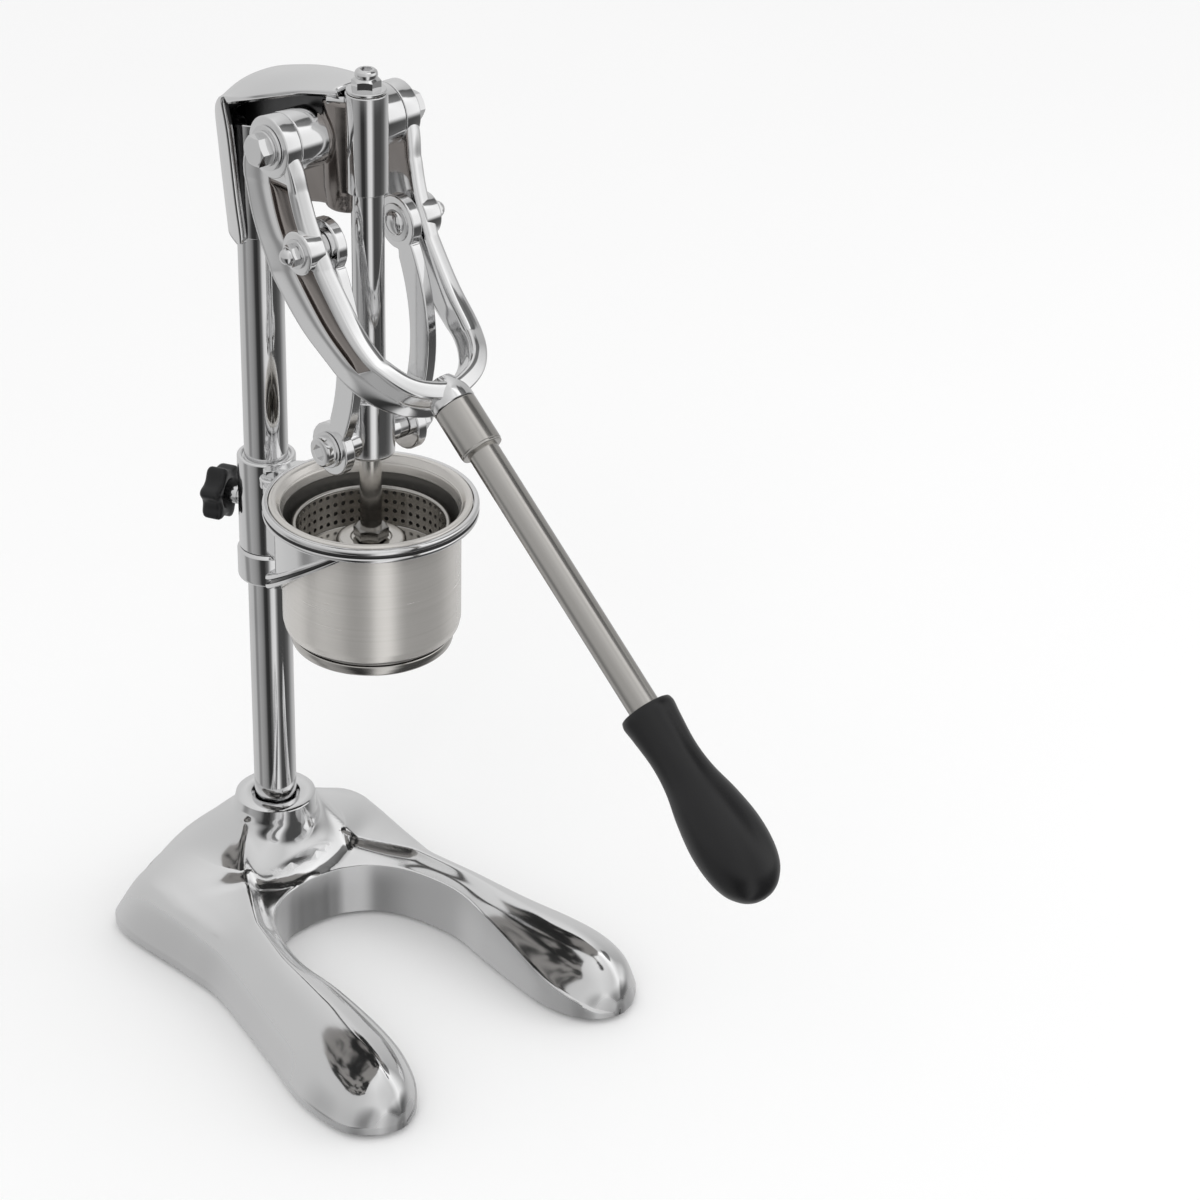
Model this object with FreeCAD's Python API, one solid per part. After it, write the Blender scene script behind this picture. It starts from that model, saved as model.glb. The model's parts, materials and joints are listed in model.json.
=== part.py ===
import FreeCAD, Part
import math
import os

# A bench press for long fries: a cast horseshoe base, a column, a head with a fork lever,
# a plunger in a guide sleeve, and a barrel with a die in a height-adjustable ring.
# Millimetres, +Z up, the lever points to -Y. Sizes "forward" are measured towards the lever
# from the column's axis, and the finished press is then centred over its own footprint.

# Driving dimensions: stand
foot_height = 4.0
foot_radius = 12.0
foot_recess = 1.5
foot_screw_radius = 2.0
foot_screw_length = 12.0
base_height = 38.0
base_reach = 221.0
leg_outer = 111.0
throat_half = 55.0
throat_back = 34.5
lobe_half = 92.0
lobe_back = 57.0
base_wall = 5.0
base_skirt = 4.0
boss_top = 83.0
boss_radius = 23.3
boss_recess_radius = 14.3
boss_recess_depth = 7.0
boss_flare = 80.0
core_wall = 9.0
core_pocket_radius = 12.0
core_pocket_depth = 7.0
column_diameter = 25.0
column_wall = 2.0
column_foot = 16.0
column_length = 500.0
plug_length = 24.0
column_bolt_radius = 5.0
column_bolt_flats = 16.0

# Driving dimensions: press axis and barrel
press_forward = 95.0
barrel_bore = 96.0
barrel_wall = 1.5
barrel_clearance = 0.5
barrel_top = 320.5
barrel_height = 78.5
flange_radius = 55.8
flange_thickness = 3.4
die_depth = 9.0
die_floor = 2.0
die_corner = 6.0
outlet_size = 9.0
outlet_pitch = 13.0
outlet_field = 28.0

# Driving dimensions: holder
sleeve_radius = 17.3
sleeve_bottom = 252.0
sleeve_height = 58.0
ring_radius = 59.5
ring_height = 8.0
hoop_thickness = 12.0
hoop_rear_height = 254.5
hoop_slope = 0.615
holder_web = 22.0
collar_radius = 18.0
collar_height = 20.5
grub_radius = 3.0
knob_rise = 27.0
knob_turn = 62.0
knob_radius = 17.0
knob_thickness = 13.0
knob_screw_radius = 4.0

# Driving dimensions: plunger
rod_radius = 8.75
lower_rod_radius = 6.0
lower_rod_end = 265.5
cap_stud_radius = 5.0
pin_height = 359.0
pin_radius = 5.0
pin_head_radius = 8.4
pin_head = 5.0
pin_nut_flats = 15.0
small_washer = 1.6
crosshead_radius = 13.5
crosshead_above = 26.0
crosshead_below = 10.5
crossbar_radius = 7.5
cup_radius = 43.1
cup_rim_height = 306.0
cup_depth = 25.0
cup_wall = 1.2
cup_floor = 2.0
cup_bead = 1.5
cup_hole = 2.7
cup_rows = 4
cup_columns = 54
hub_radius = 19.4
hub_height = 16.0
piston_thickness = 4.0
piston_clearance = 0.4
piston_washer_radius = 12.0
piston_washer_thickness = 1.5
nut_height = 6.5
nut_flats = 17.0

# Driving dimensions: guide sleeve
guide_radius = 11.2
guide_bottom = 501.0
guide_length = 54.0
guide_wall = 1.3
bush_length = 12.0
cap_height = 12.3
cap_flats = 14.5
cap_washer_thickness = 1.8

# Driving dimensions: lever and links
pivot_forward = 69.0
pivot_height = 527.4
crank_forward = 22.0
crank_drop = 51.7
yoke_forward = 96.6
yoke_drop = 123.3
fork_half = 44.0
arm_thickness = 9.5
eye_radius = 16.5
crank_radius = 12.5
handle_slope = 36.6
handle_length = 304.0
ferrule_radius = 11.8
ferrule_length = 28.0
tube_radius = 8.5
tube_wall = 1.5
spigot_length = 31.0
grip_length = 114.0
grip_radius = 20.0
grip_bore = 62.0
link_thickness = 6.5
link_inner = 21.5
link_eye = 15.0
link_bow = 17.0
link_head_radius = 7.2
link_head = 4.2
pivot_bolt_radius = 6.0
pivot_bolt_flats = 19.0
pivot_bolt_head = 8.0
pivot_washer_radius = 12.0
stud_radius = 4.0
stud_nut_flats = 13.0
spacer_radius = 9.0
pocket_depth = 3.2

# Driving dimensions: head casting
head_bottom = 445.5
head_half = 29.0
head_back = 22.5
head_wall = 4.0
head_side = 8.0
roof_top = 557.0
block_half = 14.0
block_bottom = 485.0
socket_wall = 5.0
sleeve_screw_radius = 2.5

# Fits
slide_fit = 0.09
turn_fit = 0.09
snug_fit = 0.05
face_gap = 0.3

column_radius = column_diameter / 2
column_top = column_foot + column_length
base_top = foot_height + base_height
barrel_radius = barrel_bore / 2 + barrel_wall
barrel_bottom = barrel_top - barrel_height
die_bottom = barrel_bottom - die_depth
ring_top = barrel_top - flange_thickness / 2 + 0.7
ring_bottom = ring_top - ring_height
ring_seat = barrel_top - flange_thickness
sleeve_top = sleeve_bottom + sleeve_height
knob_height = sleeve_bottom + knob_rise
collar_top = sleeve_bottom - face_gap
guide_top = guide_bottom + guide_length
link_outer = link_inner + link_thickness
arm_inner = fork_half - arm_thickness
crank_point = (pivot_forward + crank_forward, pivot_height - crank_drop)
pin_point = (press_forward, pin_height)
yoke_point = (pivot_forward + yoke_forward, pivot_height - yoke_drop)


def place(x, forward, z):
    return FreeCAD.Vector(x, -forward, z)


def direction(x, forward, z):
    return FreeCAD.Vector(x, -forward, z)


def rod_between(start, end, radius):
    axis = end.sub(start)
    return Part.makeCylinder(radius, axis.Length, start, axis)


def upright(radius, forward, low, high, x=0.0):
    return Part.makeCylinder(radius, high - low, place(x, forward, low))


def tube(outer, inner, forward, low, high):
    return upright(outer, forward, low, high).cut(upright(inner, forward, low - 1, high + 1))


def cross_rod(radius, forward, z, x_from, x_to):
    return rod_between(place(x_from, forward, z), place(x_to, forward, z), radius)


def wire_through(points, closed=True):
    corners = points + points[:1] if closed else points
    return Part.makePolygon(corners)


def spline_edge(points):
    curve = Part.BSplineCurve()
    curve.interpolate(points)
    return curve.toShape()


def turned(profile, forward, z=0.0):
    # A closed outline of (radius, height) pairs, turned about an upright axis.
    points = [FreeCAD.Vector(r, 0, h + z) for r, h in profile]
    face = Part.Face(wire_through(points))
    solid = face.revolve(FreeCAD.Vector(0, 0, 0), FreeCAD.Vector(0, 0, 1), 360)
    solid.translate(place(0, forward, 0))
    return solid


def hexagon(flats, height, start, axis):
    corner = flats / math.sqrt(3)
    ring = [FreeCAD.Vector(corner * math.cos(math.radians(60 * i)),
                           corner * math.sin(math.radians(60 * i)), 0) for i in range(6)]
    prism = Part.Face(wire_through(ring)).extrude(FreeCAD.Vector(0, 0, height))
    dome = Part.makeCone(corner + 0.9 * height, 0.86 * corner, height)
    prism = prism.common(dome)
    turn = FreeCAD.Rotation(FreeCAD.Vector(0, 0, 1), axis)
    prism.Placement = FreeCAD.Placement(start, turn)
    return prism


def acorn(flats, start, axis):
    # A cap nut: a hexagon foot with a dome on it.
    foot = hexagon(flats, 0.42 * flats, start, axis)
    unit = FreeCAD.Vector(axis).normalize()
    centre = start.add(unit.multiply(0.38 * flats))
    dome = Part.makeSphere(0.45 * flats, centre)
    below = Part.makeCylinder(flats, flats, start.sub(FreeCAD.Vector(axis).normalize().multiply(flats)), axis)
    return foot.fuse(dome.cut(below)).removeSplitter()


def washer(outer, inner, thickness, start, axis):
    ring = Part.makeCylinder(outer, thickness, start, axis)
    hole = Part.makeCylinder(inner, thickness * 3, start.sub(FreeCAD.Vector(axis).normalize()), axis)
    return ring.cut(hole)


def socket_screw(radius, length, start, axis):
    # A grub screw with a hexagon socket in its outer end; start is its inner tip.
    body = Part.makeCylinder(radius, length, start, axis)
    unit = FreeCAD.Vector(axis).normalize()
    mouth = start.add(FreeCAD.Vector(unit).multiply(length - radius))
    return body.cut(hexagon(radius, radius + 5, mouth, axis))


def group(solids):
    return Part.makeCompound(solids)


# Base casting


def leg_stations():
    # One side of the horseshoe from the toe to the middle of the back. Each station is the
    # inner point, the outer point, the crest's height share, where the crest lies across,
    # the height share of the lip at the throat, and how full the outer side is.
    toe = base_reach
    return [
        ((throat_half + 21, toe - 1), (leg_outer - 25, toe), 0.27, 0.50, 0.08, 0.55),
        ((throat_half + 11, toe - 7), (leg_outer - 15, toe - 5), 0.64, 0.48, 0.16, 0.60),
        ((throat_half + 3, toe - 18), (leg_outer - 4, toe - 16), 0.90, 0.46, 0.33, 0.60),
        ((throat_half - 2, toe - 37), (leg_outer, toe - 35), 1.02, 0.44, 0.50, 0.60),
        ((throat_half - 2, toe - 60), (leg_outer - 1, toe - 60), 1.04, 0.40, 0.68, 0.56),
        ((throat_half, toe - 92), (leg_outer - 8, toe - 90), 1.03, 0.34, 0.84, 0.52),
        ((throat_half + 2, toe - 122), (leg_outer - 16, toe - 126), 1.01, 0.30, 0.89, 0.50),
        ((throat_half - 5, throat_back + 34), (lobe_half - 4, throat_back + 22), 0.99, 0.3, 0.89, 0.56),
        ((throat_half - 17, throat_back + 14), (lobe_half - 3, throat_back - 10), 0.98, 0.36, 0.88, 0.68),
        ((throat_half - 32, throat_back + 4), (lobe_half, -lobe_back + 20), 1.0, 0.42, 0.87, 0.78),
        ((throat_half - 42, throat_back + 1), (lobe_half - 22, -lobe_back), 1.0, 0.45, 0.87, 0.78),
    ]


def leg_section(inner, outer, crest, crest_at, lip, full, inset):
    # A closed outline across the leg: skirt up to the lip, over the crest, down to the ground.
    width = math.hypot(outer[0] - inner[0], outer[1] - inner[1])
    cut = inset / width
    top = base_height * crest - inset
    edge = max(base_height * lip - 0.6 * inset, 1.0)
    rise = top - edge
    fall = top - base_skirt
    outline = [(cut, 0.0), (cut, edge), (crest_at * 0.42, edge + 0.66 * rise), (crest_at, top),
               (crest_at + 0.36 * (1 - crest_at), base_skirt + (0.73 + 0.27 * full) * fall),
               (crest_at + 0.72 * (1 - crest_at), base_skirt + full * fall),
              (1 - cut, base_skirt), (1 - cut, 0.0)]
    points = [place(inner[0] + (outer[0] - inner[0]) * t, inner[1] + (outer[1] - inner[1]) * t, foot_height + z)
              for t, z in outline]
    lines = [Part.LineSegment(points[0], points[1]).toShape(), spline_edge(points[1:7]),
             Part.LineSegment(points[6], points[7]).toShape(), Part.LineSegment(points[7], points[0]).toShape()]
    return Part.Wire(lines)


def horseshoe(inset):
    # The whole loft, or with an inset the hollow inside it.
    stations = leg_stations()
    middle = [((0, throat_back), (0, -lobe_back + 3), 1.0, 0.45, 0.88, 0.78)]
    mirrored = [((-i[0], i[1]), (-o[0], o[1])) + tuple(rest) for i, o, *rest in reversed(stations)]
    wires = [leg_section(*station, inset) for station in stations + middle + mirrored]
    if inset:
        wires = wires[2:-2]
    return Part.makeLoft(wires, True, False)


def mantle(inset):
    # The sweep up to the column's boss: tight in front, spread out behind and beside it.
    rings = [(boss_top, boss_radius, boss_radius, 0.0),
             (boss_top - 11, boss_radius * 1.13, boss_radius * 1.1, -1.5),
             (boss_top - 21, boss_radius * 1.45, boss_radius * 1.3, -7.0),
             (base_top + 9, boss_radius * 2.0, boss_radius * 1.6, -11.0),
             (base_top + 1, boss_flare * 0.82, boss_flare * 0.52, -14.0),
             (base_top - 10, boss_flare, boss_flare * 0.6, -14.0)]
    wires = []
    for z, wide, deep, forward in rings:
        centre = place(0, forward, z - inset)
        if wide == deep:
            wires.append(Part.Wire(Part.makeCircle(wide - inset, centre)))
            continue
        edge = Part.Ellipse(FreeCAD.Vector(0, 0, 0), wide - inset, deep - inset).toShape()
        edge.translate(centre)
        wires.append(Part.Wire(edge))
    return Part.makeLoft(wires, True, False)


def foot_places():
    toe = ((throat_half + leg_outer) / 2 - 1, base_reach - 21)
    heel = (lobe_half - 24, -lobe_back + 26)
    return [(side * x, forward) for x, forward in (toe, heel) for side in (1, -1)]


def make_base():
    outer = horseshoe(0).fuse(mantle(0))
    shell = outer.cut(horseshoe(base_wall)).cut(mantle(base_wall))
    pillars = [upright(foot_radius - 3, f, foot_height, base_top, x) for x, f in foot_places()]
    pillars.append(upright(column_radius + core_wall, 0, foot_height, boss_top))
    casting = shell.fuse([pillar.common(outer) for pillar in pillars])
    for x, f in foot_places():
        casting = casting.cut(upright(foot_radius + 0.2, f, foot_height - 1, foot_height + foot_recess, x))
        hole_top = foot_height + foot_screw_length + 2
        casting = casting.cut(upright(foot_screw_radius + 0.2, f, foot_height - 1, hole_top, x))
    casting = casting.cut(upright(column_radius + slide_fit, 0, column_foot, boss_top + 1))
    casting = casting.cut(upright(boss_recess_radius, 0, boss_top - boss_recess_depth, boss_top + 1))
    casting = casting.cut(upright(column_bolt_radius + face_gap, 0, foot_height - 1, column_foot + 1))
    return casting.cut(upright(core_pocket_radius, 0, foot_height - 1, foot_height + core_pocket_depth))


def make_feet():
    pads = []
    screws = []
    for x, f in foot_places():
        pad = upright(foot_radius, f, 0.0, foot_height + foot_recess, x)
        seat = 0.55 * foot_height
        pad = pad.cut(upright(foot_screw_radius + 3, f, -1, seat, x))
        pad = pad.cut(upright(foot_screw_radius + 0.2, f, 0, foot_height + foot_recess + 1, x))
        pads.append(pad)
        head = upright(foot_screw_radius + 2.2, f, seat - 1.6, seat, x)
        shank = upright(foot_screw_radius, f, seat, foot_height + foot_screw_length, x)
        screws.append(head.fuse(shank))
    return group(pads), group(screws)


def make_column():
    column = tube(column_radius, column_radius - column_wall, 0, column_foot, column_top)
    plug_top = column_foot + plug_length
    plug = upright(column_radius - column_wall - snug_fit, 0, column_foot, plug_top)
    plug = plug.cut(upright(column_bolt_radius, 0, column_foot - 1, plug_top - 4))
    up = direction(0, 0, 1)
    head_low = foot_height + 0.4
    head_top = foot_height + core_pocket_depth - small_washer
    bolt = hexagon(column_bolt_flats, head_top - head_low, place(0, 0, head_low), up)
    bolt = bolt.fuse(upright(column_bolt_radius - snug_fit, 0, head_top - 1, plug_top - 5))
    ring = washer(core_pocket_radius - 0.5, column_bolt_radius + 0.2, small_washer, place(0, 0, head_top), up)
    return column, plug, bolt, ring


# Holder, collar and knob


def make_collar():
    low = sleeve_bottom - collar_height
    ring = tube(collar_radius, column_radius + snug_fit, 0, low, collar_top)
    edge = [e for e in ring.Edges if abs(e.BoundBox.ZMax - low) < 1e-6 and e.Length > 6.2 * collar_radius]
    ring = ring.makeFillet(3.5, edge)
    middle = (low + collar_top) / 2
    tip = place(0, -column_radius - snug_fit, middle)
    rearward = direction(0, -1, 0)
    ring = ring.cut(Part.makeCylinder(grub_radius + snug_fit, collar_radius, tip, rearward))
    screw = socket_screw(grub_radius, collar_radius - column_radius - 0.6, tip, rearward)
    return ring, screw


def knob_axis():
    angle = math.radians(knob_turn)
    return FreeCAD.Vector(-math.cos(angle), math.sin(angle), 0)


def along_knob(distance):
    return place(0, 0, knob_height).add(knob_axis().multiply(distance))


def make_holder():
    inner = barrel_radius + barrel_clearance
    recess = flange_radius + barrel_clearance
    seat = ring_seat - face_gap
    lowest = sleeve_bottom - 30
    groove = ring_radius - 1.3
    middle = (ring_top + ring_bottom) / 2
    ring = turned([(inner, ring_bottom), (ring_radius - 0.8, ring_bottom), (ring_radius, ring_bottom + 0.8),
                   (ring_radius, middle - 1.1), (groove, middle - 0.4), (groove, middle + 0.6),
                   (ring_radius, middle + 1.3), (ring_radius, ring_top - 0.6), (ring_radius - 0.6, ring_top),
                   (recess, ring_top), (recess, seat), (inner, seat)], press_forward)
    rear = press_forward - ring_radius

    def hoop_middle(forward):
        return hoop_rear_height + (forward - rear) * hoop_slope

    def slab(forward_from, forward_to, below, above):
        start = hoop_middle(forward_from)
        end = hoop_middle(forward_to)
        corners = [(forward_from, start - below), (forward_to, end - below),
                   (forward_to, end + above), (forward_from, start + above)]
        points = [place(-ring_radius - 5, f, z) for f, z in corners]
        return Part.Face(wire_through(points)).extrude(direction(2 * ring_radius + 10, 0, 0))

    reach = rear + (ring_bottom - hoop_rear_height) / hoop_slope + 8
    half = hoop_thickness / 2
    band = tube(ring_radius, inner, press_forward, lowest, ring_bottom + 1)
    hoop = band.common(slab(rear - 5, reach, half, half))
    outer_edges = [e for e in hoop.Edges if e.Length > ring_radius
                   and e.BoundBox.XMax > ring_radius - 1 and e.BoundBox.XMin < -ring_radius + 1]
    hoop = hoop.makeFillet(half - 1.5, outer_edges)
    skin = tube(barrel_radius + 3.5, inner, press_forward, lowest, ring_bottom + 1)
    skin = skin.common(slab(rear - 5, reach, 0, 2 * sleeve_height))
    web_end = press_forward - barrel_radius - 2
    web_points = [(4, sleeve_bottom), (web_end, sleeve_bottom), (web_end, ring_top - 2),
                  (rear + 2, ring_top - 2), (sleeve_radius - 2, sleeve_top - 1.5), (4, sleeve_top - 1.5)]
    web_face = Part.Face(wire_through([place(-holder_web / 2, f, z) for f, z in web_points]))
    web = web_face.extrude(direction(holder_web, 0, 0))
    cap = upright(sleeve_radius, 0, sleeve_bottom, sleeve_top)
    edge = [e for e in cap.Edges if abs(e.BoundBox.ZMin - sleeve_top) < 1e-6]
    cap = cap.makeFillet(1.2, edge)
    body = cap.fuse([web, ring, hoop, skin])
    body = body.cut(upright(inner, press_forward, lowest, ring_top + 1))
    body = body.cut(upright(column_radius + slide_fit, 0, lowest, ring_top + 1))
    body = body.cut(upright(recess, press_forward, seat, ring_top + 1))
    thread = knob_screw_radius + turn_fit
    return body.cut(rod_between(along_knob(column_radius - 1), along_knob(sleeve_radius + 5), thread))


def make_knob():
    start = sleeve_radius + 6.0
    hub = Part.makeCylinder(knob_radius * 0.74, knob_thickness, along_knob(start), knob_axis())
    side = knob_axis().cross(FreeCAD.Vector(0, 0, 1))
    lobes = []
    for i in range(6):
        turn = FreeCAD.Rotation(knob_axis(), 60 * i + 30)
        offset = turn.multVec(side).multiply(knob_radius * 0.68)
        centre = along_knob(start).add(offset)
        lobes.append(Part.makeCylinder(knob_radius * 0.32, knob_thickness, centre, knob_axis()))
    star = hub.fuse(lobes).removeSplitter()
    hole_end = along_knob(start + knob_thickness - 4)
    star = star.cut(rod_between(along_knob(start - 1), hole_end, knob_screw_radius))
    screw = rod_between(along_knob(column_radius + face_gap), along_knob(start + knob_thickness - 4.2),
                        knob_screw_radius)
    collar_from = sleeve_radius + face_gap
    flange = rod_between(along_knob(collar_from), along_knob(start), knob_screw_radius + 1.2)
    return star, screw.fuse(flange).removeSplitter()


# Barrel and die


def make_barrel():
    bore = barrel_bore / 2
    lip = flange_thickness / 2
    seat = ring_seat
    profile = [(bore, barrel_bottom), (barrel_radius, barrel_bottom), (barrel_radius, seat - 1.0),
               (barrel_radius + 0.4, seat), (flange_radius - 1.0, seat), (flange_radius, seat + 1.0),
               (flange_radius, barrel_top - 1.2), (flange_radius - 1.2, barrel_top),
               (flange_radius - 3.4, barrel_top), (flange_radius - 5.4, barrel_top - 0.8),
               (bore + 1.0, seat - lip), (bore, seat - lip - 3.5)]
    return turned(profile, press_forward)


def make_die():
    outer = barrel_radius - 0.4
    register = barrel_bore / 2 - 0.1
    corner = die_corner
    cup = turned([(0, die_bottom), (outer - corner, die_bottom),
                  (outer - 0.3 * corner, die_bottom + 0.3 * corner),
                  (outer, die_bottom + corner), (outer, barrel_bottom), (register, barrel_bottom),
                  (register, barrel_bottom + 1.5), (register - 1.5, barrel_bottom + 1.5),
                  (register - 1.5, die_bottom + corner), (register - corner, die_bottom + die_floor),
                  (0, die_bottom + die_floor)], press_forward)
    count = int(outlet_field // outlet_pitch)
    outlets = []
    for i in range(-count, count + 1):
        for j in range(-count, count + 1):
            if math.hypot(i, j) * outlet_pitch > outlet_field:
                continue
            corner_point = place(i * outlet_pitch - outlet_size / 2,
                                 press_forward + j * outlet_pitch + outlet_size / 2, die_bottom - 1)
            outlets.append(Part.makeBox(outlet_size, outlet_size, die_floor + 2, corner_point))
    return cup.cut(group(outlets))


# Plunger


def make_rods():
    upper_low = pin_height + pin_radius + 1.5
    shoulder = guide_top + face_gap
    upper = upright(rod_radius, press_forward, upper_low, shoulder)
    upper = upper.fuse(upright(cap_stud_radius, press_forward, shoulder, shoulder + cap_height - 3.5))
    lower = upright(lower_rod_radius, press_forward, lower_rod_end, pin_height - pin_radius - 1.0)
    return upper, lower


def make_cap():
    low = guide_top + face_gap
    seat = low + cap_washer_thickness
    bore = cap_stud_radius + snug_fit
    up = direction(0, 0, 1)
    flange = tube(guide_radius - 0.6, bore, press_forward, low, seat)
    nut = hexagon(cap_flats, cap_height - cap_washer_thickness, place(0, press_forward, seat), up)
    nut = nut.cut(upright(bore, press_forward, low, low + cap_height - 3.4))
    nut = nut.cut(hexagon(0.52 * cap_flats, 4, place(0, press_forward, low + cap_height - 2.6), up))
    return flange, nut


def make_crosshead():
    low = pin_height - crosshead_below
    high = pin_height + crosshead_above
    hub = upright(crosshead_radius, press_forward, low, high)
    edges = [e for e in hub.Edges if e.Curve.TypeId == "Part::GeomCircle"]
    hub = hub.makeFillet(1.5, edges)
    bar_end = link_inner - face_gap
    bar = cross_rod(crossbar_radius, press_forward, pin_height, -bar_end, bar_end)
    body = hub.fuse(bar)
    body = body.cut(cross_rod(pin_radius, press_forward, pin_height, -fork_half, fork_half))
    body = body.cut(upright(rod_radius, press_forward, pin_height + pin_radius + 1.5, high + 1))
    body = body.cut(upright(lower_rod_radius, press_forward, low - 1, pin_height - pin_radius - 1.0))
    tip = place(0, press_forward + rod_radius + 0.02, high - 3 * grub_radius)
    reach = crosshead_radius - rod_radius
    frontward = direction(0, 1, 0)
    body = body.cut(Part.makeCylinder(grub_radius + snug_fit, reach + 2, tip, frontward))
    screw = socket_screw(grub_radius, reach - 0.5, tip, frontward)
    return body, screw


def make_cross_pin():
    end = link_outer + face_gap
    face = end + small_washer
    tip = face + 0.36 * pin_nut_flats
    shank = cross_rod(pin_radius, press_forward, pin_height, -face, tip)
    outward = direction(-1, 0, 0)
    head = Part.makeCylinder(pin_head_radius, pin_head, place(-face, press_forward, pin_height), outward)
    rim = [e for e in head.Edges if e.Curve.TypeId == "Part::GeomCircle"
           and abs(e.BoundBox.XMin + face + pin_head) < 1e-4]
    head = head.makeFillet(0.36 * pin_head, rim)
    mouth = place(-face - 0.48 * pin_head, press_forward, pin_height)
    socket = hexagon(1.6 * pin_radius, pin_head, mouth, outward)
    pin = shank.fuse(head).cut(socket)
    washers = []
    for s in (-1, 1):
        start = place(s * end, press_forward, pin_height)
        washers.append(washer(2 * pin_radius, pin_radius + snug_fit, small_washer, start, direction(s, 0, 0)))
    nut = acorn(pin_nut_flats, place(face, press_forward, pin_height), direction(1, 0, 0))
    nut = nut.cut(cross_rod(pin_radius, press_forward, pin_height, end, tip + snug_fit))
    return pin, group(washers), nut


def make_plunger_stack():
    floor_top = cup_rim_height - cup_depth
    floor_low = floor_top - cup_floor
    hub_top = floor_top + hub_height
    bore = lower_rod_radius + snug_fit
    hub = upright(hub_radius, press_forward, floor_top, hub_top)
    hub = hub.makeFillet(1.5, [e for e in hub.Edges if abs(e.BoundBox.ZMin - hub_top) < 1e-6])
    hub = hub.cut(upright(bore, press_forward, floor_top - 1, hub_top + 1))
    rim_low = cup_rim_height - cup_bead
    wall = turned([(bore, floor_low), (cup_radius - cup_floor, floor_low), (cup_radius, floor_top),
                   (cup_radius, rim_low), (cup_radius - cup_wall, rim_low),
                   (cup_radius - cup_wall, floor_top), (bore, floor_top)], press_forward)
    rim = Part.makeTorus(cup_radius - 0.6 * cup_bead, cup_bead, place(0, press_forward, rim_low))
    cup = wall.fuse(rim)
    spacing = 0.68 * cup_depth / cup_rows
    drills = []
    for row in range(cup_rows):
        z = floor_top + 0.14 * cup_depth + spacing * row
        for column in range(cup_columns):
            angle = 2 * math.pi * column / cup_columns
            outward = FreeCAD.Vector(math.cos(angle), math.sin(angle), 0)
            start = place(0, press_forward, z).add(FreeCAD.Vector(outward).multiply(cup_radius - cup_wall - 1))
            drills.append(Part.makeCylinder(cup_hole / 2, cup_wall + 2, start, outward))
    cup = cup.cut(group(drills))
    piston_low = floor_low - piston_thickness
    washer_low = piston_low - piston_washer_thickness
    piston = tube(barrel_bore / 2 - piston_clearance, bore, press_forward, piston_low, floor_low)
    ring = tube(piston_washer_radius, bore, press_forward, washer_low, piston_low)
    up = direction(0, 0, 1)
    ends = (washer_low - 2 * nut_height, hub_top + 2 * nut_height)
    thread = upright(lower_rod_radius + 0.02, press_forward, *ends)
    top_nut = hexagon(nut_flats, nut_height, place(0, press_forward, hub_top), up).cut(thread)
    low_nut = hexagon(nut_flats, nut_height, place(0, press_forward, washer_low - nut_height), up).cut(thread)
    return hub, cup, piston, ring, top_nut, low_nut


# Links


def make_links():
    a = pin_point
    b = crank_point
    middle = ((a[0] + b[0]) / 2, (a[1] + b[1]) / 2)
    span = math.hypot(b[0] - a[0], b[1] - a[1])
    across = ((b[1] - a[1]) / span, -(b[0] - a[0]) / span)
    width = 0.52 * link_eye

    def bowed(offset):
        return (middle[0] + across[0] * offset, middle[1] + across[1] * offset)

    def one(side):
        x = side * link_inner
        out = direction(side * link_thickness, 0, 0)
        eyes = [Part.makeCylinder(link_eye, link_thickness, place(x, *p), out) for p in (a, b)]
        low_out = (a[0] + across[0] * width, a[1] + across[1] * width)
        high_out = (b[0] + across[0] * width, b[1] + across[1] * width)
        low_in = (a[0] - across[0] * width, a[1] - across[1] * width)
        high_in = (b[0] - across[0] * width, b[1] - across[1] * width)
        front = Part.Arc(place(x, *low_out), place(x, *bowed(link_bow + width)), place(x, *high_out))
        back = Part.Arc(place(x, *high_in), place(x, *bowed(link_bow - width)), place(x, *low_in))
        high_end = Part.LineSegment(place(x, *high_out), place(x, *high_in))
        low_end = Part.LineSegment(place(x, *low_in), place(x, *low_out))
        strap = Part.Wire([curve.toShape() for curve in (front, high_end, back, low_end)])
        strap = Part.Face(strap).extrude(out)
        plate = eyes[0].fuse([eyes[1], strap]).removeSplitter()
        plate = plate.cut(cross_rod(pin_radius + turn_fit, *pin_point, -fork_half, fork_half))
        return plate.cut(cross_rod(stud_radius, *crank_point, -fork_half, fork_half))

    return one(-1), one(1)


def make_link_studs():
    # The link's half of each upper pivot: a round head inside and a shank flush outside.
    studs = []
    for side in (-1, 1):
        shank = cross_rod(stud_radius, *crank_point, side * link_inner, side * link_outer)
        inward = direction(-side, 0, 0)
        head = Part.makeCylinder(link_head_radius, link_head, place(side * link_inner, *crank_point), inward)
        tip = [e for e in head.Edges if e.Curve.TypeId == "Part::GeomCircle"
               and abs(abs(e.BoundBox.XMin) - link_inner + link_head) < 1e-4]
        head = head.makeFillet(0.57 * link_head, tip)
        mouth = place(side * (link_inner - 0.52 * link_head), *crank_point)
        socket = hexagon(1.25 * stud_radius, link_head, mouth, inward)
        studs.append(shank.fuse(head).cut(socket))
    return group(studs)


# Lever


def yoke_frame():
    reach = math.hypot(yoke_forward, yoke_drop)
    along = (yoke_forward / reach, -yoke_drop / reach)
    square = (-along[1], along[0])
    return reach, along, square


def handle_direction():
    angle = math.radians(handle_slope)
    return direction(0, math.cos(angle), -math.sin(angle))


def on_handle(distance):
    return place(0, *yoke_point).add(handle_direction().multiply(distance))


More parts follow.
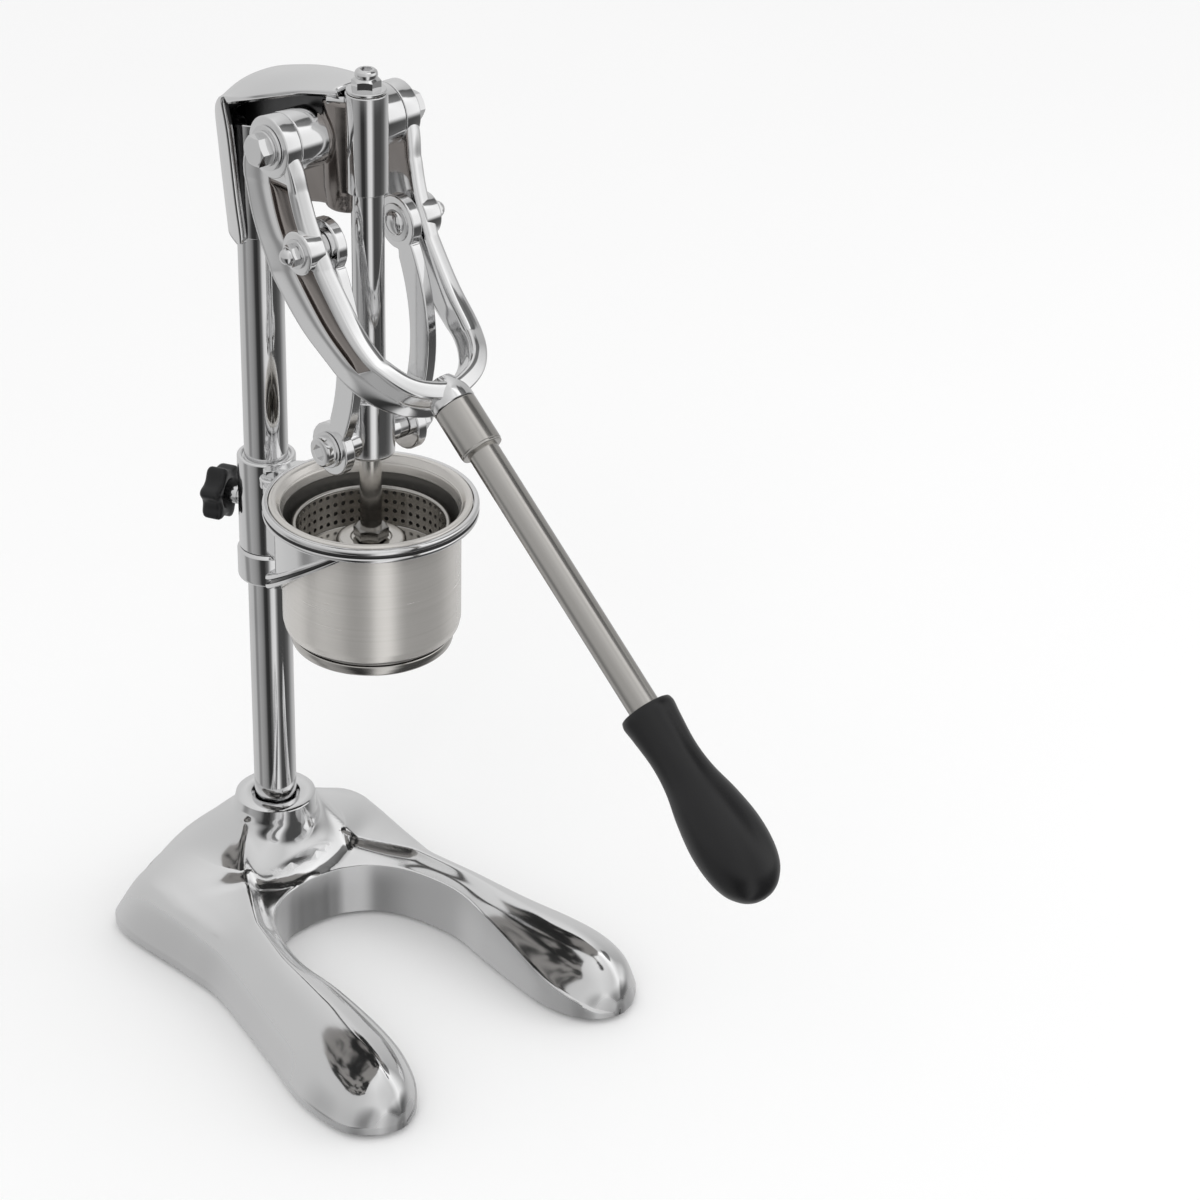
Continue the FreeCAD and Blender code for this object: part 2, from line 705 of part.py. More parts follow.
def make_fork():
    reach, along, square = yoke_frame()
    # Each station of an arm, from the pivot to the middle of the yoke: the back edge and the front edge,
    # each as shares of the reach along the fork and square to it, and of the half width.
    stations = [
        ((-0.065, -0.083, 1.0), (0.065, 0.083, 1.0)), ((0.022, -0.159, 1.0), (0.169, 0.029, 0.955)),
        ((0.144, -0.210, 1.0), (0.269, -0.010, 0.93)), ((0.275, -0.239, 1.0), (0.372, -0.032, 0.91)),
        ((0.420, -0.252, 0.99), (0.492, -0.045, 0.886)), ((0.549, -0.227, 0.98), (0.610, -0.040, 0.875)),
        ((0.664, -0.188, 0.965), (0.713, -0.023, 0.864)), ((0.758, -0.156, 0.94), (0.792, -0.004, 0.83)),
        ((0.830, -0.132, 0.875), (0.849, 0.017, 0.75)), ((0.896, -0.110, 0.74), (0.899, 0.029, 0.636)),
        ((0.946, -0.093, 0.545), (0.938, 0.038, 0.477)), ((0.981, -0.081, 0.30), (0.965, 0.043, 0.27)),
    ]
    middle = ((0.998, -0.077, 0.0), (0.982, 0.045, 0.0))
    mirrored = [tuple((s, q, -w) for s, q, w in pair) for pair in reversed(stations)]
    stations = stations + [middle] + mirrored

    def corner(s, q, w):
        return FreeCAD.Vector(w * fork_half, -pivot_forward - reach * (along[0] * s + square[0] * q),
                              pivot_height + reach * (along[1] * s + square[1] * q))

    def inward(edge, i):
        # The direction across the bar at a station, from the outer face to the inner one.
        before = stations[max(i - 1, 0)][edge]
        after = stations[min(i + 1, len(stations) - 1)][edge]
        run = ((after[2] - before[2]) * fork_half, (after[0] - before[0]) * reach)
        size = math.hypot(*run)
        return FreeCAD.Vector(-run[1] / size, -run[0] / size * along[0], run[0] / size * along[1])

    def section(i, back_share, front_share, outside, inside):
        outer = [corner(*stations[i][edge]) for edge in (0, 1)]
        across = inward(0, i).add(inward(1, i)).normalize()
        points = []
        for t, depth in ((back_share, outside), (front_share, outside),
                         (front_share, inside), (back_share, inside)):
            base = outer[0].add(outer[1].sub(outer[0]).multiply(t))
            points.append(base.add(FreeCAD.Vector(across).multiply(depth)))
        return wire_through(points)

    count = len(stations)
    body = Part.makeLoft([section(i, 0, 1, 0, arm_thickness) for i in range(count)], True, True)
    last = count // 2 - 2
    for arm in (range(1, last), range(count - last, count - 1)):
        pocket = [section(i, 0.46, 0.84, -4, pocket_depth) for i in arm]
        body = body.cut(Part.makeLoft(pocket, True, True))
    pivot = (pivot_forward, pivot_height)
    additions = []
    for s in (-1, 1):
        additions.append(cross_rod(eye_radius, *pivot, s * arm_inner, s * fork_half))
        additions.append(cross_rod(crank_radius, *crank_point, s * (arm_inner - 1), s * fork_half))
        spacer_end = s * (link_outer + face_gap)
        additions.append(cross_rod(spacer_radius, *crank_point, spacer_end, s * (arm_inner + 1)))
    additions.append(Part.makeCylinder(ferrule_radius + 0.9, 6.0, on_handle(-5.0), handle_direction()))
    spigot_radius = tube_radius - tube_wall - snug_fit
    additions.append(Part.makeCylinder(spigot_radius, spigot_length, on_handle(0.0), handle_direction()))
    body = body.fuse(additions)
    body = body.cut(cross_rod(eye_radius + 1.5, *pivot, -arm_inner, arm_inner))
    body = body.cut(cross_rod(pivot_bolt_radius + turn_fit, *pivot, -fork_half - 1, fork_half + 1))
    return body.cut(cross_rod(stud_radius + snug_fit, *crank_point, -fork_half - 1, fork_half + 1))


def make_fork_hardware():
    studs = []
    washers = []
    nuts = []
    seat = fork_half + small_washer
    tip = seat + 0.35 * stud_nut_flats
    for s in (-1, 1):
        out = direction(s, 0, 0)
        studs.append(cross_rod(stud_radius, *crank_point, s * (link_outer + face_gap), s * tip))
        start = place(s * fork_half, *crank_point)
        washers.append(washer(2.15 * stud_radius, stud_radius + snug_fit, small_washer, start, out))
        nut = acorn(stud_nut_flats, place(s * seat, *crank_point), out)
        nuts.append(nut.cut(cross_rod(stud_radius, *crank_point, s * fork_half, s * (tip + snug_fit))))
    return group(studs), group(washers), group(nuts)


def make_handle():
    start = on_handle(1.2)
    ferrule = Part.makeCylinder(ferrule_radius, ferrule_length, start, handle_direction())
    ends = [e for e in ferrule.Edges if e.Curve.TypeId == "Part::GeomCircle"]
    ferrule = ferrule.makeFillet(0.8, ends)
    bore = Part.makeCylinder(tube_radius + 0.03, ferrule_length + 2, on_handle(0), handle_direction())
    ferrule = ferrule.cut(bore)
    grip_start = handle_length - grip_length
    tube_end = grip_start + grip_bore
    pipe = rod_between(start, on_handle(tube_end), tube_radius)
    pipe = pipe.cut(rod_between(on_handle(0), on_handle(tube_end + 1), tube_radius - tube_wall))
    shares = [(0.0, 0.70), (0.03, 0.745), (0.10, 0.70), (0.24, 0.642), (0.37, 0.70), (0.515, 0.88),
              (0.66, 0.995), (0.79, 0.985), (0.90, 0.815), (0.97, 0.50), (1.0, 0.0)]
    profile = [FreeCAD.Vector(r * grip_radius, 0, t * grip_length) for t, r in shares]
    outer = spline_edge(profile)
    axis_line = Part.LineSegment(profile[-1], FreeCAD.Vector(0, 0, 0)).toShape()
    foot = Part.LineSegment(FreeCAD.Vector(0, 0, 0), profile[0]).toShape()
    half_section = Part.Face(Part.Wire([foot, outer, axis_line]))
    grip = half_section.revolve(FreeCAD.Vector(0, 0, 0), FreeCAD.Vector(0, 0, 1), 360)
    turn = FreeCAD.Rotation(FreeCAD.Vector(0, 0, 1), handle_direction())
    grip.Placement = FreeCAD.Placement(on_handle(grip_start), turn)
    grip = grip.cut(rod_between(on_handle(grip_start - 1), on_handle(tube_end + 1), tube_radius + snug_fit))
    return ferrule, pipe, grip


# Head casting


def hood_body(inset):
    # The space under the roof and inside the side walls: the whole hood, or with an inset its hollow.
    front = press_forward - guide_radius
    # Along the roof: how far forward, how far the crown lies below its top, and the fall at the sides.
    roof = [(-head_back - 1.5, 72, 34), (-head_back + 0.5, 57, 32), (-head_back + 2.0, 47, 30),
            (-head_back + 5.5, 39, 28), (-head_back + 12.5, 29, 20), (0.0, 20, 14.5), (front * 0.14, 13.5, 13),
            (front * 0.31, 9, 11), (front * 0.5, 4.5, 10.5), (front * 0.72, 1.5, 12), (front + 3, 0, 11)]
    reach = head_half + 6

    def roof_wire(forward, drop, fall):
        line = [(t * reach, roof_top - inset - drop - fall * abs(t * reach / 30) ** 2.2)
                for t in (-1, -0.66, -0.33, 0, 0.33, 0.66, 1)]
        points = [place(x, forward, z) for x, z in line]
        low = head_bottom - 10 * head_wall
        corners = [place(reach, forward, low), place(-reach, forward, low)]
        lines = [Part.LineSegment(points[-1], corners[0]).toShape(), Part.LineSegment(*corners).toShape(),
                 Part.LineSegment(corners[1], points[0]).toShape()]
        return Part.Wire([spline_edge(points)] + lines)

    under_roof = Part.makeLoft([roof_wire(f + inset * (f < 0), d, fall) for f, d, fall in roof], True, True)
    plan = [(0.0, -1.0), (0.31, -0.907), (0.57, -0.667), (0.76, -0.289), (0.897, 0.036), (0.983, 0.167),
            (1.0, 0.31), (0.907, 0.5), (0.714, 0.72), (0.428, 1.0), (0.42, 1.04)]

    def plan_wire(z, side, back):
        right = [((head_half * side - inset) * x, (head_back * back - inset) * f if f < 0 else front * f)
                 for x, f in plan]
        left = [(-x, f) for x, f in reversed(right[1:])]
        points = [place(x, f, z) for x, f in left + right]
        return Part.Wire([spline_edge(points), Part.LineSegment(points[-1], points[0]).toShape()])

    span = roof_top - head_bottom
    levels = [(0.0, 0.70, 0.835), (0.24, 0.80, 0.91), (0.49, 0.90, 0.978), (0.76, 1.0, 1.0), (1.07, 1.0, 1.0)]
    wires = [plan_wire(head_bottom + t * span - 0.1 * inset * (t == 0), s, b) for t, s, b in levels]
    return under_roof.common(Part.makeLoft(wires, True, True))


def make_head():
    top = roof_top
    sleeve_back = press_forward - guide_radius
    outer = hood_body(0)
    hood = outer.cut(hood_body(head_wall))
    open_side = [(head_side, head_bottom - 1), (sleeve_back + 9, head_bottom - 1), (sleeve_back + 9, top - 7),
                 (sleeve_back * 0.72, top - 12), (sleeve_back * 0.5, top - 17), (sleeve_back * 0.31, top - 24),
                 (head_side + 4, top - 30), (head_side, top - 32)]
    points = [place(-head_half - 1, f, z) for f, z in open_side]
    hood = hood.cut(Part.Face(wire_through(points)).extrude(direction(2 * head_half + 2, 0, 0)))
    socket = upright(column_radius + socket_wall, 0, head_bottom + 2, column_top + 4).common(outer)
    block_outline = [(10.0, block_bottom - 12), (pivot_forward - 17, block_bottom),
                     (sleeve_back + 4, block_bottom + 2), (sleeve_back + 4, top - 4),
                     (sleeve_back * 0.72, top - 4.5), (sleeve_back * 0.5, top - 7.5),
                     (sleeve_back * 0.31, top - 12), (10.0, top - 18)]
    block_points = [place(-block_half, f, z) for f, z in block_outline]
    block = Part.Face(wire_through(block_points)).extrude(direction(2 * block_half, 0, 0))
    boss_end = arm_inner - face_gap
    bosses = cross_rod(eye_radius, pivot_forward, pivot_height, -boss_end, boss_end)
    body = hood.fuse([socket, block, bosses])
    body = body.cut(upright(column_radius + snug_fit, 0, head_bottom - 5, column_top + 0.5))
    body = body.cut(upright(guide_radius + snug_fit, press_forward, guide_bottom - guide_length, top + 10))
    for s in (-1, 1):
        drill = cross_rod(pivot_bolt_radius, pivot_forward, pivot_height, s * (block_half - 4), s * fork_half)
        body = body.cut(drill)
    return body


def make_head_screws():
    screws = []
    holes = []
    for z in (head_bottom + 18, head_bottom + 44):
        tip = place(0, -column_radius - snug_fit, z)
        holes.append(Part.makeCylinder(grub_radius + snug_fit, head_back, tip, direction(0, -1, 0)))
        screws.append(socket_screw(grub_radius, 7.0, tip, direction(0, -1, 0)))
    slant = direction(-0.62, -0.78, 0)
    start = place(0, press_forward, guide_top - 6).add(FreeCAD.Vector(slant).multiply(guide_radius + snug_fit))
    sleeve_hole = Part.makeCylinder(sleeve_screw_radius + snug_fit, 14, start, slant)
    sleeve_screw = socket_screw(sleeve_screw_radius, 9.5, start, slant)
    return group(screws), holes, sleeve_screw, sleeve_hole


def make_pivot_bolts():
    bolts = []
    washers = []
    face = fork_half + face_gap
    seat = face + small_washer
    bore = pivot_bolt_radius + snug_fit
    for s in (-1, 1):
        out = direction(s, 0, 0)
        start = place(s * face, pivot_forward, pivot_height)
        washers.append(washer(pivot_washer_radius, bore, small_washer, start, out))
        bolt = cross_rod(pivot_bolt_radius, pivot_forward, pivot_height, s * (block_half - 3.8), s * seat)
        head = hexagon(pivot_bolt_flats, pivot_bolt_head, place(s * seat, pivot_forward, pivot_height), out)
        bolts.append(bolt.fuse(head))
    return group(bolts), group(washers)


def make_guide():
    bore = guide_radius - guide_wall
    sleeve = tube(guide_radius, bore, press_forward, guide_bottom, guide_top)
    bushes = []
    for low in (guide_bottom, guide_top - bush_length):
        bushes.append(tube(bore, rod_radius + slide_fit, press_forward, low, low + bush_length))
    return sleeve, group(bushes)


def build():
    nodes = {}
    nodes["base_casting"] = make_base()
    nodes["rubber_feet"], nodes["foot_screws"] = make_feet()
    nodes["column"], nodes["column_plug"], nodes["column_bolt"], nodes["column_washer"] = make_column()
    nodes["stop_collar"], nodes["collar_screw"] = make_collar()
    nodes["barrel_holder"] = make_holder()
    nodes["star_knob"], nodes["knob_screw"] = make_knob()
    nodes["barrel"] = make_barrel()
    nodes["die_plate"] = make_die()
    nodes["upper_rod"], nodes["lower_rod"] = make_rods()
    nodes["cap_washer"], nodes["cap_nut"] = make_cap()
    nodes["crosshead"], nodes["crosshead_screw"] = make_crosshead()
    nodes["cross_pin"], nodes["pin_washers"], nodes["pin_nut"] = make_cross_pin()
    stack = make_plunger_stack()
    names = ("plunger_hub", "perforated_cup", "piston_disc", "piston_washer",
             "plunger_top_nut", "plunger_low_nut")
    nodes.update(zip(names, stack))
    nodes["left_link"], nodes["right_link"] = make_links()
    nodes["link_studs"] = make_link_studs()
    nodes["fork_lever"] = make_fork()
    nodes["crank_studs"], nodes["crank_washers"], nodes["crank_nuts"] = make_fork_hardware()
    nodes["handle_ferrule"], nodes["handle_tube"], nodes["handle_grip"] = make_handle()
    head = make_head()
    nodes["head_screws"], head_holes, nodes["sleeve_screw"], sleeve_hole = make_head_screws()
    for hole in head_holes + [sleeve_hole]:
        head = head.cut(hole)
    nodes["head_casting"] = head
    nodes["pivot_bolts"], nodes["pivot_washers"] = make_pivot_bolts()
    nodes["guide_sleeve"], nodes["guide_bushes"] = make_guide()
    return nodes


def main():
    os.makedirs("parts", exist_ok=True)
    nodes = build()
    front = nodes["handle_grip"].optimalBoundingBox(False, False).YMin
    back = nodes["base_casting"].optimalBoundingBox(False, False).YMax
    shift = -(front + back) / 2
    for name, shape in nodes.items():
        shape.translate(FreeCAD.Vector(0, shift, 0))
        shape.exportStep("parts/" + name + ".step")
    print("column axis at y", round(shift, 3))
    print("lever pivot y, z", round(shift - pivot_forward, 3), round(pivot_height, 3))
    print("link pivot y, z", round(shift - press_forward, 3), round(pin_height, 3))


main()
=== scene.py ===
import bpy
import bmesh
import json
import math
from mathutils import Matrix, Vector


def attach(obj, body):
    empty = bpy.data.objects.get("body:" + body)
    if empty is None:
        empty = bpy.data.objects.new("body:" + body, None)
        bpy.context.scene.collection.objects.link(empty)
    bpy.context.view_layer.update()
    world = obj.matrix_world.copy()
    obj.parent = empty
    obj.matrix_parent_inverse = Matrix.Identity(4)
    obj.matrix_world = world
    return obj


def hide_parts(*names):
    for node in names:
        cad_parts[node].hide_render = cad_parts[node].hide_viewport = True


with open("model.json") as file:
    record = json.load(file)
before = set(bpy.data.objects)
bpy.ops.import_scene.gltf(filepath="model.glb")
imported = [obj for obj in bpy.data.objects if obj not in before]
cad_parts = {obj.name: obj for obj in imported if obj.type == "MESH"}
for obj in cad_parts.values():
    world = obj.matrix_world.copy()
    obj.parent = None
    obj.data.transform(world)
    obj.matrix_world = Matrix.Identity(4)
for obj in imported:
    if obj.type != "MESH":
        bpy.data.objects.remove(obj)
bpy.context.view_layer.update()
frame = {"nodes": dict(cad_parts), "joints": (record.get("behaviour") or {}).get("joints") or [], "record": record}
nodes = frame["nodes"]
joints = {joint["name"]: joint for joint in frame["joints"]}
columnY = joints["knob_turn"]["pos_m"][1]
pressForward = (columnY - joints["link_hinge"]["pos_m"][1]) * 1000
pivotForward = (columnY - joints["lever_hinge"]["pos_m"][1]) * 1000
pivotHeight = joints["lever_hinge"]["pos_m"][2] * 1000
pinHeight = joints["link_hinge"]["pos_m"][2] * 1000
print("frame loaded:", len(nodes), "nodes")


# millimetres from the column's axis, forward being towards the handle
def at(x, forward, z):
    return Vector((x / 1000, columnY - forward / 1000, z / 1000))


def way(x, forward, z):
    return Vector((x, -forward, z)).normalized()


up = way(0, 0, 1)

# shader helpers


class Socket:
    def __init__(self, graph, link):
        self.graph = graph
        self.link = link

    def math(self, operation, other, swapped=False):
        values = (other, self) if swapped else (self, other)
        return self.graph.node("ShaderNodeMath", {"operation": operation}, {0: values[0], 1: values[1]})

    def __add__(self, other):
        return self.math("ADD", other)

    def __radd__(self, other):
        return self.math("ADD", other, True)

    def __sub__(self, other):
        return self.math("SUBTRACT", other)

    def __rsub__(self, other):
        return self.math("SUBTRACT", other, True)

    def __mul__(self, other):
        return self.math("MULTIPLY", other)

    def __rmul__(self, other):
        return self.math("MULTIPLY", other, True)


class Graph:
    def __init__(self, tree):
        self.tree = tree
        self.tree.nodes.clear()

    def node(self, kind, settings=None, sockets=None, out=0):
        made = self.tree.nodes.new(kind)
        for key, value in (settings or {}).items():
            if key == "stops":
                ramp = made.color_ramp.elements
                while len(ramp) < len(value):
                    ramp.new(0.5)
                for element, (place, level) in zip(ramp, value):
                    element.position = place
                    element.color = (level, level, level, 1)
            else:
                setattr(made, key, value)
        for key, value in (sockets or {}).items():
            if isinstance(value, Socket):
                self.tree.links.new(value.link, made.inputs[key])
            else:
                made.inputs[key].default_value = value
        return Socket(self, made.outputs[out])

    # the X, Y or Z of a vector
    def part(self, vector, axis):
        return self.node("ShaderNodeSeparateXYZ", None, {"Vector": vector}, axis)

    def mix(self, share, low, high):
        return self.node("ShaderNodeMix", {"data_type": "RGBA"}, {0: share, 6: low, 7: high}, 2)

    def noise(self, place, scale, detail=4.0, stretch=None):
        if stretch:
            place = self.node("ShaderNodeMapping", None, {"Vector": place, "Scale": stretch})
        return self.node("ShaderNodeTexNoise", None, {"Vector": place, "Scale": scale, "Detail": detail})

    def steps(self, value, low, high, start=0.0, end=1.0):
        return self.node("ShaderNodeMapRange", {"interpolation_type": "SMOOTHSTEP"}, {
            "Value": value, "From Min": low, "From Max": high, "To Min": start, "To Max": end})

    def bump(self, height, strength, distance):
        return self.node("ShaderNodeBump", None, {
            "Height": height, "Strength": strength, "Distance": distance})

    def surface(self, shader, kind="ShaderNodeOutputMaterial"):
        output = self.tree.nodes.new(kind)
        self.tree.links.new(shader.link, output.inputs["Surface"])


def newMaterial(name):
    material = bpy.data.materials.new(name)
    material.use_nodes = True
    graph = Graph(material.node_tree)
    return material, graph, graph.node("ShaderNodeTexCoord", out="Object")


castingLook = {"light": (0.90, 0.90, 0.90, 1), "dark": (0.83, 0.83, 0.835, 1), "shine": 0.06, "spread": 0.07,
               "patch": 14.0, "wave": 0.05, "fine": 240.0, "fineSpread": 0.03}
# satin low on the sides: the slopes (0 is upright) it fades in over, in front and further back, where forward
# of the column the one changes to the other, its upper edge's fade, and how much rougher it is
satinBand = {"frontSlopes": (0.3, 0.1), "backSlopes": (0.62, 0.3), "change": (0.17, 0.14), "fade": 0.006,
             "rough": 0.34}


def castingMaterial(name="polishedCasting", satinBelow=0.0):
    material, g, place = newMaterial(name)
    patches = g.noise(place, castingLook["patch"])
    fine = g.noise(place, castingLook["fine"], 6.0)
    colour = g.mix(patches, castingLook["dark"], castingLook["light"])
    rough = patches * castingLook["spread"] + fine * castingLook["fineSpread"] + castingLook["shine"]
    if satinBelow:
        facing = g.node("ShaderNodeNewGeometry", out="Normal")
        slope = g.part(facing, "Z")
        further = g.steps(g.part(place, "Y"), *(columnY - ahead for ahead in satinBand["change"]))
        sides = g.steps(slope, *satinBand["backSlopes"]) * further + g.steps(slope, *satinBand["frontSlopes"])
        low = g.steps(g.part(place, "Z"), satinBelow, satinBelow - satinBand["fade"])
        rough = rough + g.steps(sides, 0, 1) * low * satinBand["rough"]
    g.surface(g.node("ShaderNodeBsdfPrincipled", None, {
        "Base Color": colour, "Metallic": 1.0, "Roughness": rough,
        "Normal": g.bump(patches, castingLook["wave"], 0.001)}))
    return material


rawLook = {"grain": 90.0, "cloud": 18.0, "spread": 0.2, "relief": 0.25, "depth": 0.0006}


def rawMaterial(name, deep, pale, shine):
    material, g, place = newMaterial(name)
    grain = g.noise(place, rawLook["grain"], 8.0)
    cloud = g.noise(place, rawLook["cloud"], 3.0)
    g.surface(g.node("ShaderNodeBsdfPrincipled", None, {
        "Base Color": g.mix(cloud, deep, pale), "Metallic": 1.0,
        "Roughness": grain * rawLook["spread"] + shine,
        "Normal": g.bump(grain, rawLook["relief"], rawLook["depth"])}))
    return material


# round parts are turned, so their lines run round them; along is for brushing that follows a leaning tube
steelLook = {"light": (0.74, 0.72, 0.69, 1), "dark": (0.62, 0.60, 0.57, 1), "shine": 0.17, "grain": 12.0,
             "round": (1.0, 1.0, 60.0), "along": (14.0, 14.0, 1.0), "cloud": 20.0, "lineSpread": 0.14,
             "cloudSpread": 0.06, "relief": 0.06, "depth": 0.0003}


def satinMaterial(name="satinSteel", tone=1.0, lean=None, shine=steelLook["shine"], metal=1.0):
    material, g, place = newMaterial(name)
    if lean:
        place = g.node("ShaderNodeMapping", None, {"Vector": place, "Rotation": (lean, 0, 0)})
    lines = g.noise(place, steelLook["grain"], 6.0, steelLook["along" if lean else "round"])
    cloud = g.noise(place, steelLook["cloud"], 3.0)
    dark, light = (tuple(tone * part for part in steelLook[key][:3]) + (1,) for key in ("dark", "light"))
    rough = lines * steelLook["lineSpread"] + cloud * steelLook["cloudSpread"] + (shine - 0.08)
    g.surface(g.node("ShaderNodeBsdfPrincipled", None, {
        "Base Color": g.mix(lines, dark, light), "Metallic": metal, "Roughness": rough,
        "Normal": g.bump(lines, steelLook["relief"], steelLook["depth"])}))
    return material


brightLook = {"light": (0.84, 0.84, 0.84, 1), "dark": (0.74, 0.74, 0.745, 1), "shine": 0.03, "marks": 40.0,
              "markSpread": 0.05, "hair": 30.0, "round": (1.0, 1.0, 12.0), "hairSpread": 0.04}


def brightMaterial():
    material, g, place = newMaterial("brightSteel")
    marks = g.noise(place, brightLook["marks"], 5.0)
    hair = g.noise(place, brightLook["hair"], 4.0, brightLook["round"])
    colour = g.mix(marks, brightLook["dark"], brightLook["light"])
    rough = marks * brightLook["markSpread"] + hair * brightLook["hairSpread"] + brightLook["shine"]
    g.surface(g.node("ShaderNodeBsdfPrincipled", None, {
        "Base Color": colour, "Metallic": 1.0, "Roughness": rough}))
    return material


bronzeLook = {"light": (0.62, 0.45, 0.25, 1), "dark": (0.45, 0.31, 0.16, 1), "marks": 60.0, "spread": 0.2,
              "shine": 0.2}


def bronzeMaterial():
    material, g, place = newMaterial("bearingBronze")
    marks = g.noise(place, bronzeLook["marks"])
    colour = g.mix(marks, bronzeLook["dark"], bronzeLook["light"])
    rough = marks * bronzeLook["spread"] + bronzeLook["shine"]
    g.surface(g.node("ShaderNodeBsdfPrincipled", None, {
        "Base Color": colour, "Metallic": 1.0, "Roughness": rough}))
    return material


plasticLook = {"deep": (0.006, 0.006, 0.0065, 1), "pale": (0.013, 0.013, 0.014, 1), "grain": 900.0,
               "cloud": 25.0, "spread": 0.1, "shine": 0.27, "gloss": 0.4, "relief": 0.1, "depth": 0.0003}


def plasticMaterial():
    material, g, place = newMaterial("blackPlastic")
    grain = g.noise(place, plasticLook["grain"], 3.0)
    cloud = g.noise(place, plasticLook["cloud"], 3.0)
    g.surface(g.node("ShaderNodeBsdfPrincipled", None, {
        "Base Color": g.mix(cloud, plasticLook["deep"], plasticLook["pale"]),
        "Roughness": cloud * plasticLook["spread"] + plasticLook["shine"],
        "Specular IOR Level": plasticLook["gloss"],
        "Normal": g.bump(grain, plasticLook["relief"], plasticLook["depth"])}))
    return material


rubberLook = {"deep": (0.009, 0.009, 0.009, 1), "pale": (0.022, 0.022, 0.022, 1), "grain": 400.0,
              "spread": 0.15, "shine": 0.65, "relief": 0.3, "depth": 0.0004}


def rubberMaterial():
    material, g, place = newMaterial("blackRubber")
    grain = g.noise(place, rubberLook["grain"])
    g.surface(g.node("ShaderNodeBsdfPrincipled", None, {
        "Base Color": g.mix(grain, rubberLook["deep"], rubberLook["pale"]),
        "Roughness": grain * rubberLook["spread"] + rubberLook["shine"],
        "Normal": g.bump(grain, rubberLook["relief"], rubberLook["depth"])}))
    return material


looks = {"polished_casting": castingMaterial(), "satin_steel": satinMaterial(),
         "bright_steel": brightMaterial(), "bronze": bronzeMaterial(),
         "black_plastic": plasticMaterial(), "black_rubber": rubberMaterial()}
# rough raw casting whose near-black colour is painted shade, for the ring's groove, the hoop's groove, the base's
# underside, the hood's inside and the block under the roof
rawCastingPaintedShade = rawMaterial("rawCastingPaintedShade", (0.05, 0.05, 0.052, 1), (0.14, 0.14, 0.14, 1), 0.22)
# a dark brown-grey casting colour that is painted shade and painted dark reflection, for the fork's pocket and the
# head's guard and web
recessCastingPaintedShade = rawMaterial("recessCastingPaintedShade", (0.20, 0.18, 0.17, 1), (0.42, 0.39, 0.37, 1), 0.08)
baseCasting = castingMaterial("baseCasting", 0.05)
# satin steel darkened to a third: painted shade for the inside of the barrel's bore
innerSteelPaintedShade = satinMaterial("innerSteelPaintedShade", 0.33, None, 0.3, 0.75)
barrelSteel = satinMaterial("barrelSteel", 1.12, None, 0.22, 0.66)
warmSteel = satinMaterial("warmSteel", 0.80)
nutSteel = satinMaterial("nutSteel", 0.45)
nodeSlot = {part["node"]: part["material_slot"] for part in frame["record"]["subparts"]}
bodyOf = {node: body for body, members in frame["record"]["behaviour"]["bodies"].items() for node in members}
for name, thing in nodes.items():
    thing.data.materials.clear()
    thing.data.materials.append(looks[nodeSlot[name]])
print("materials made")

# mesh helpers


# an open outline whose corners (a, b, fillet) are rounded with arcs
def softCorners(corners, steps=5):
    line = []
    for i, (a, b, fillet) in enumerate(corners):
        here = Vector((a, b))
        if not fillet or i in (0, len(corners) - 1):
            line.append((a, b))
            continue
        back = Vector(corners[i - 1][:2]) - here
        on = Vector(corners[i + 1][:2]) - here
        half = back.angle(on) / 2
        cut = min(fillet / math.tan(half), 0.49 * back.length, 0.49 * on.length)
        radius = cut * math.tan(half)
        centre = here + (back.normalized() + on.normalized()).normalized() * radius / math.sin(half)
        first = here + back.normalized() * cut - centre
        last = here + on.normalized() * cut - centre
        turn = math.atan2(first.x * last.y - first.y * last.x, first.dot(last))
        for k in range(steps + 1):
            angle = turn * k / steps
            line.append((centre.x + first.x * math.cos(angle) - first.y * math.sin(angle),
                         centre.y + first.x * math.sin(angle) + first.y * math.cos(angle)))
    return line


# a smooth line through points, any number of values each
def smoothLine(points, steps=6):
    line = []
    last = len(points) - 1
    for i in range(last):
        a, b, c, d = (points[min(max(k, 0), last)] for k in (i - 1, i, i + 1, i + 2))
        for k in range(steps):
            t = k / steps
            line.append(tuple(0.5 * (2 * q + (r - p) * t + (2 * p - 5 * q + 4 * r - s) * t * t
                                     + (3 * q - p - 3 * r + s) * t ** 3) for p, q, r, s in zip(a, b, c, d)))
    return line + [tuple(points[-1])]


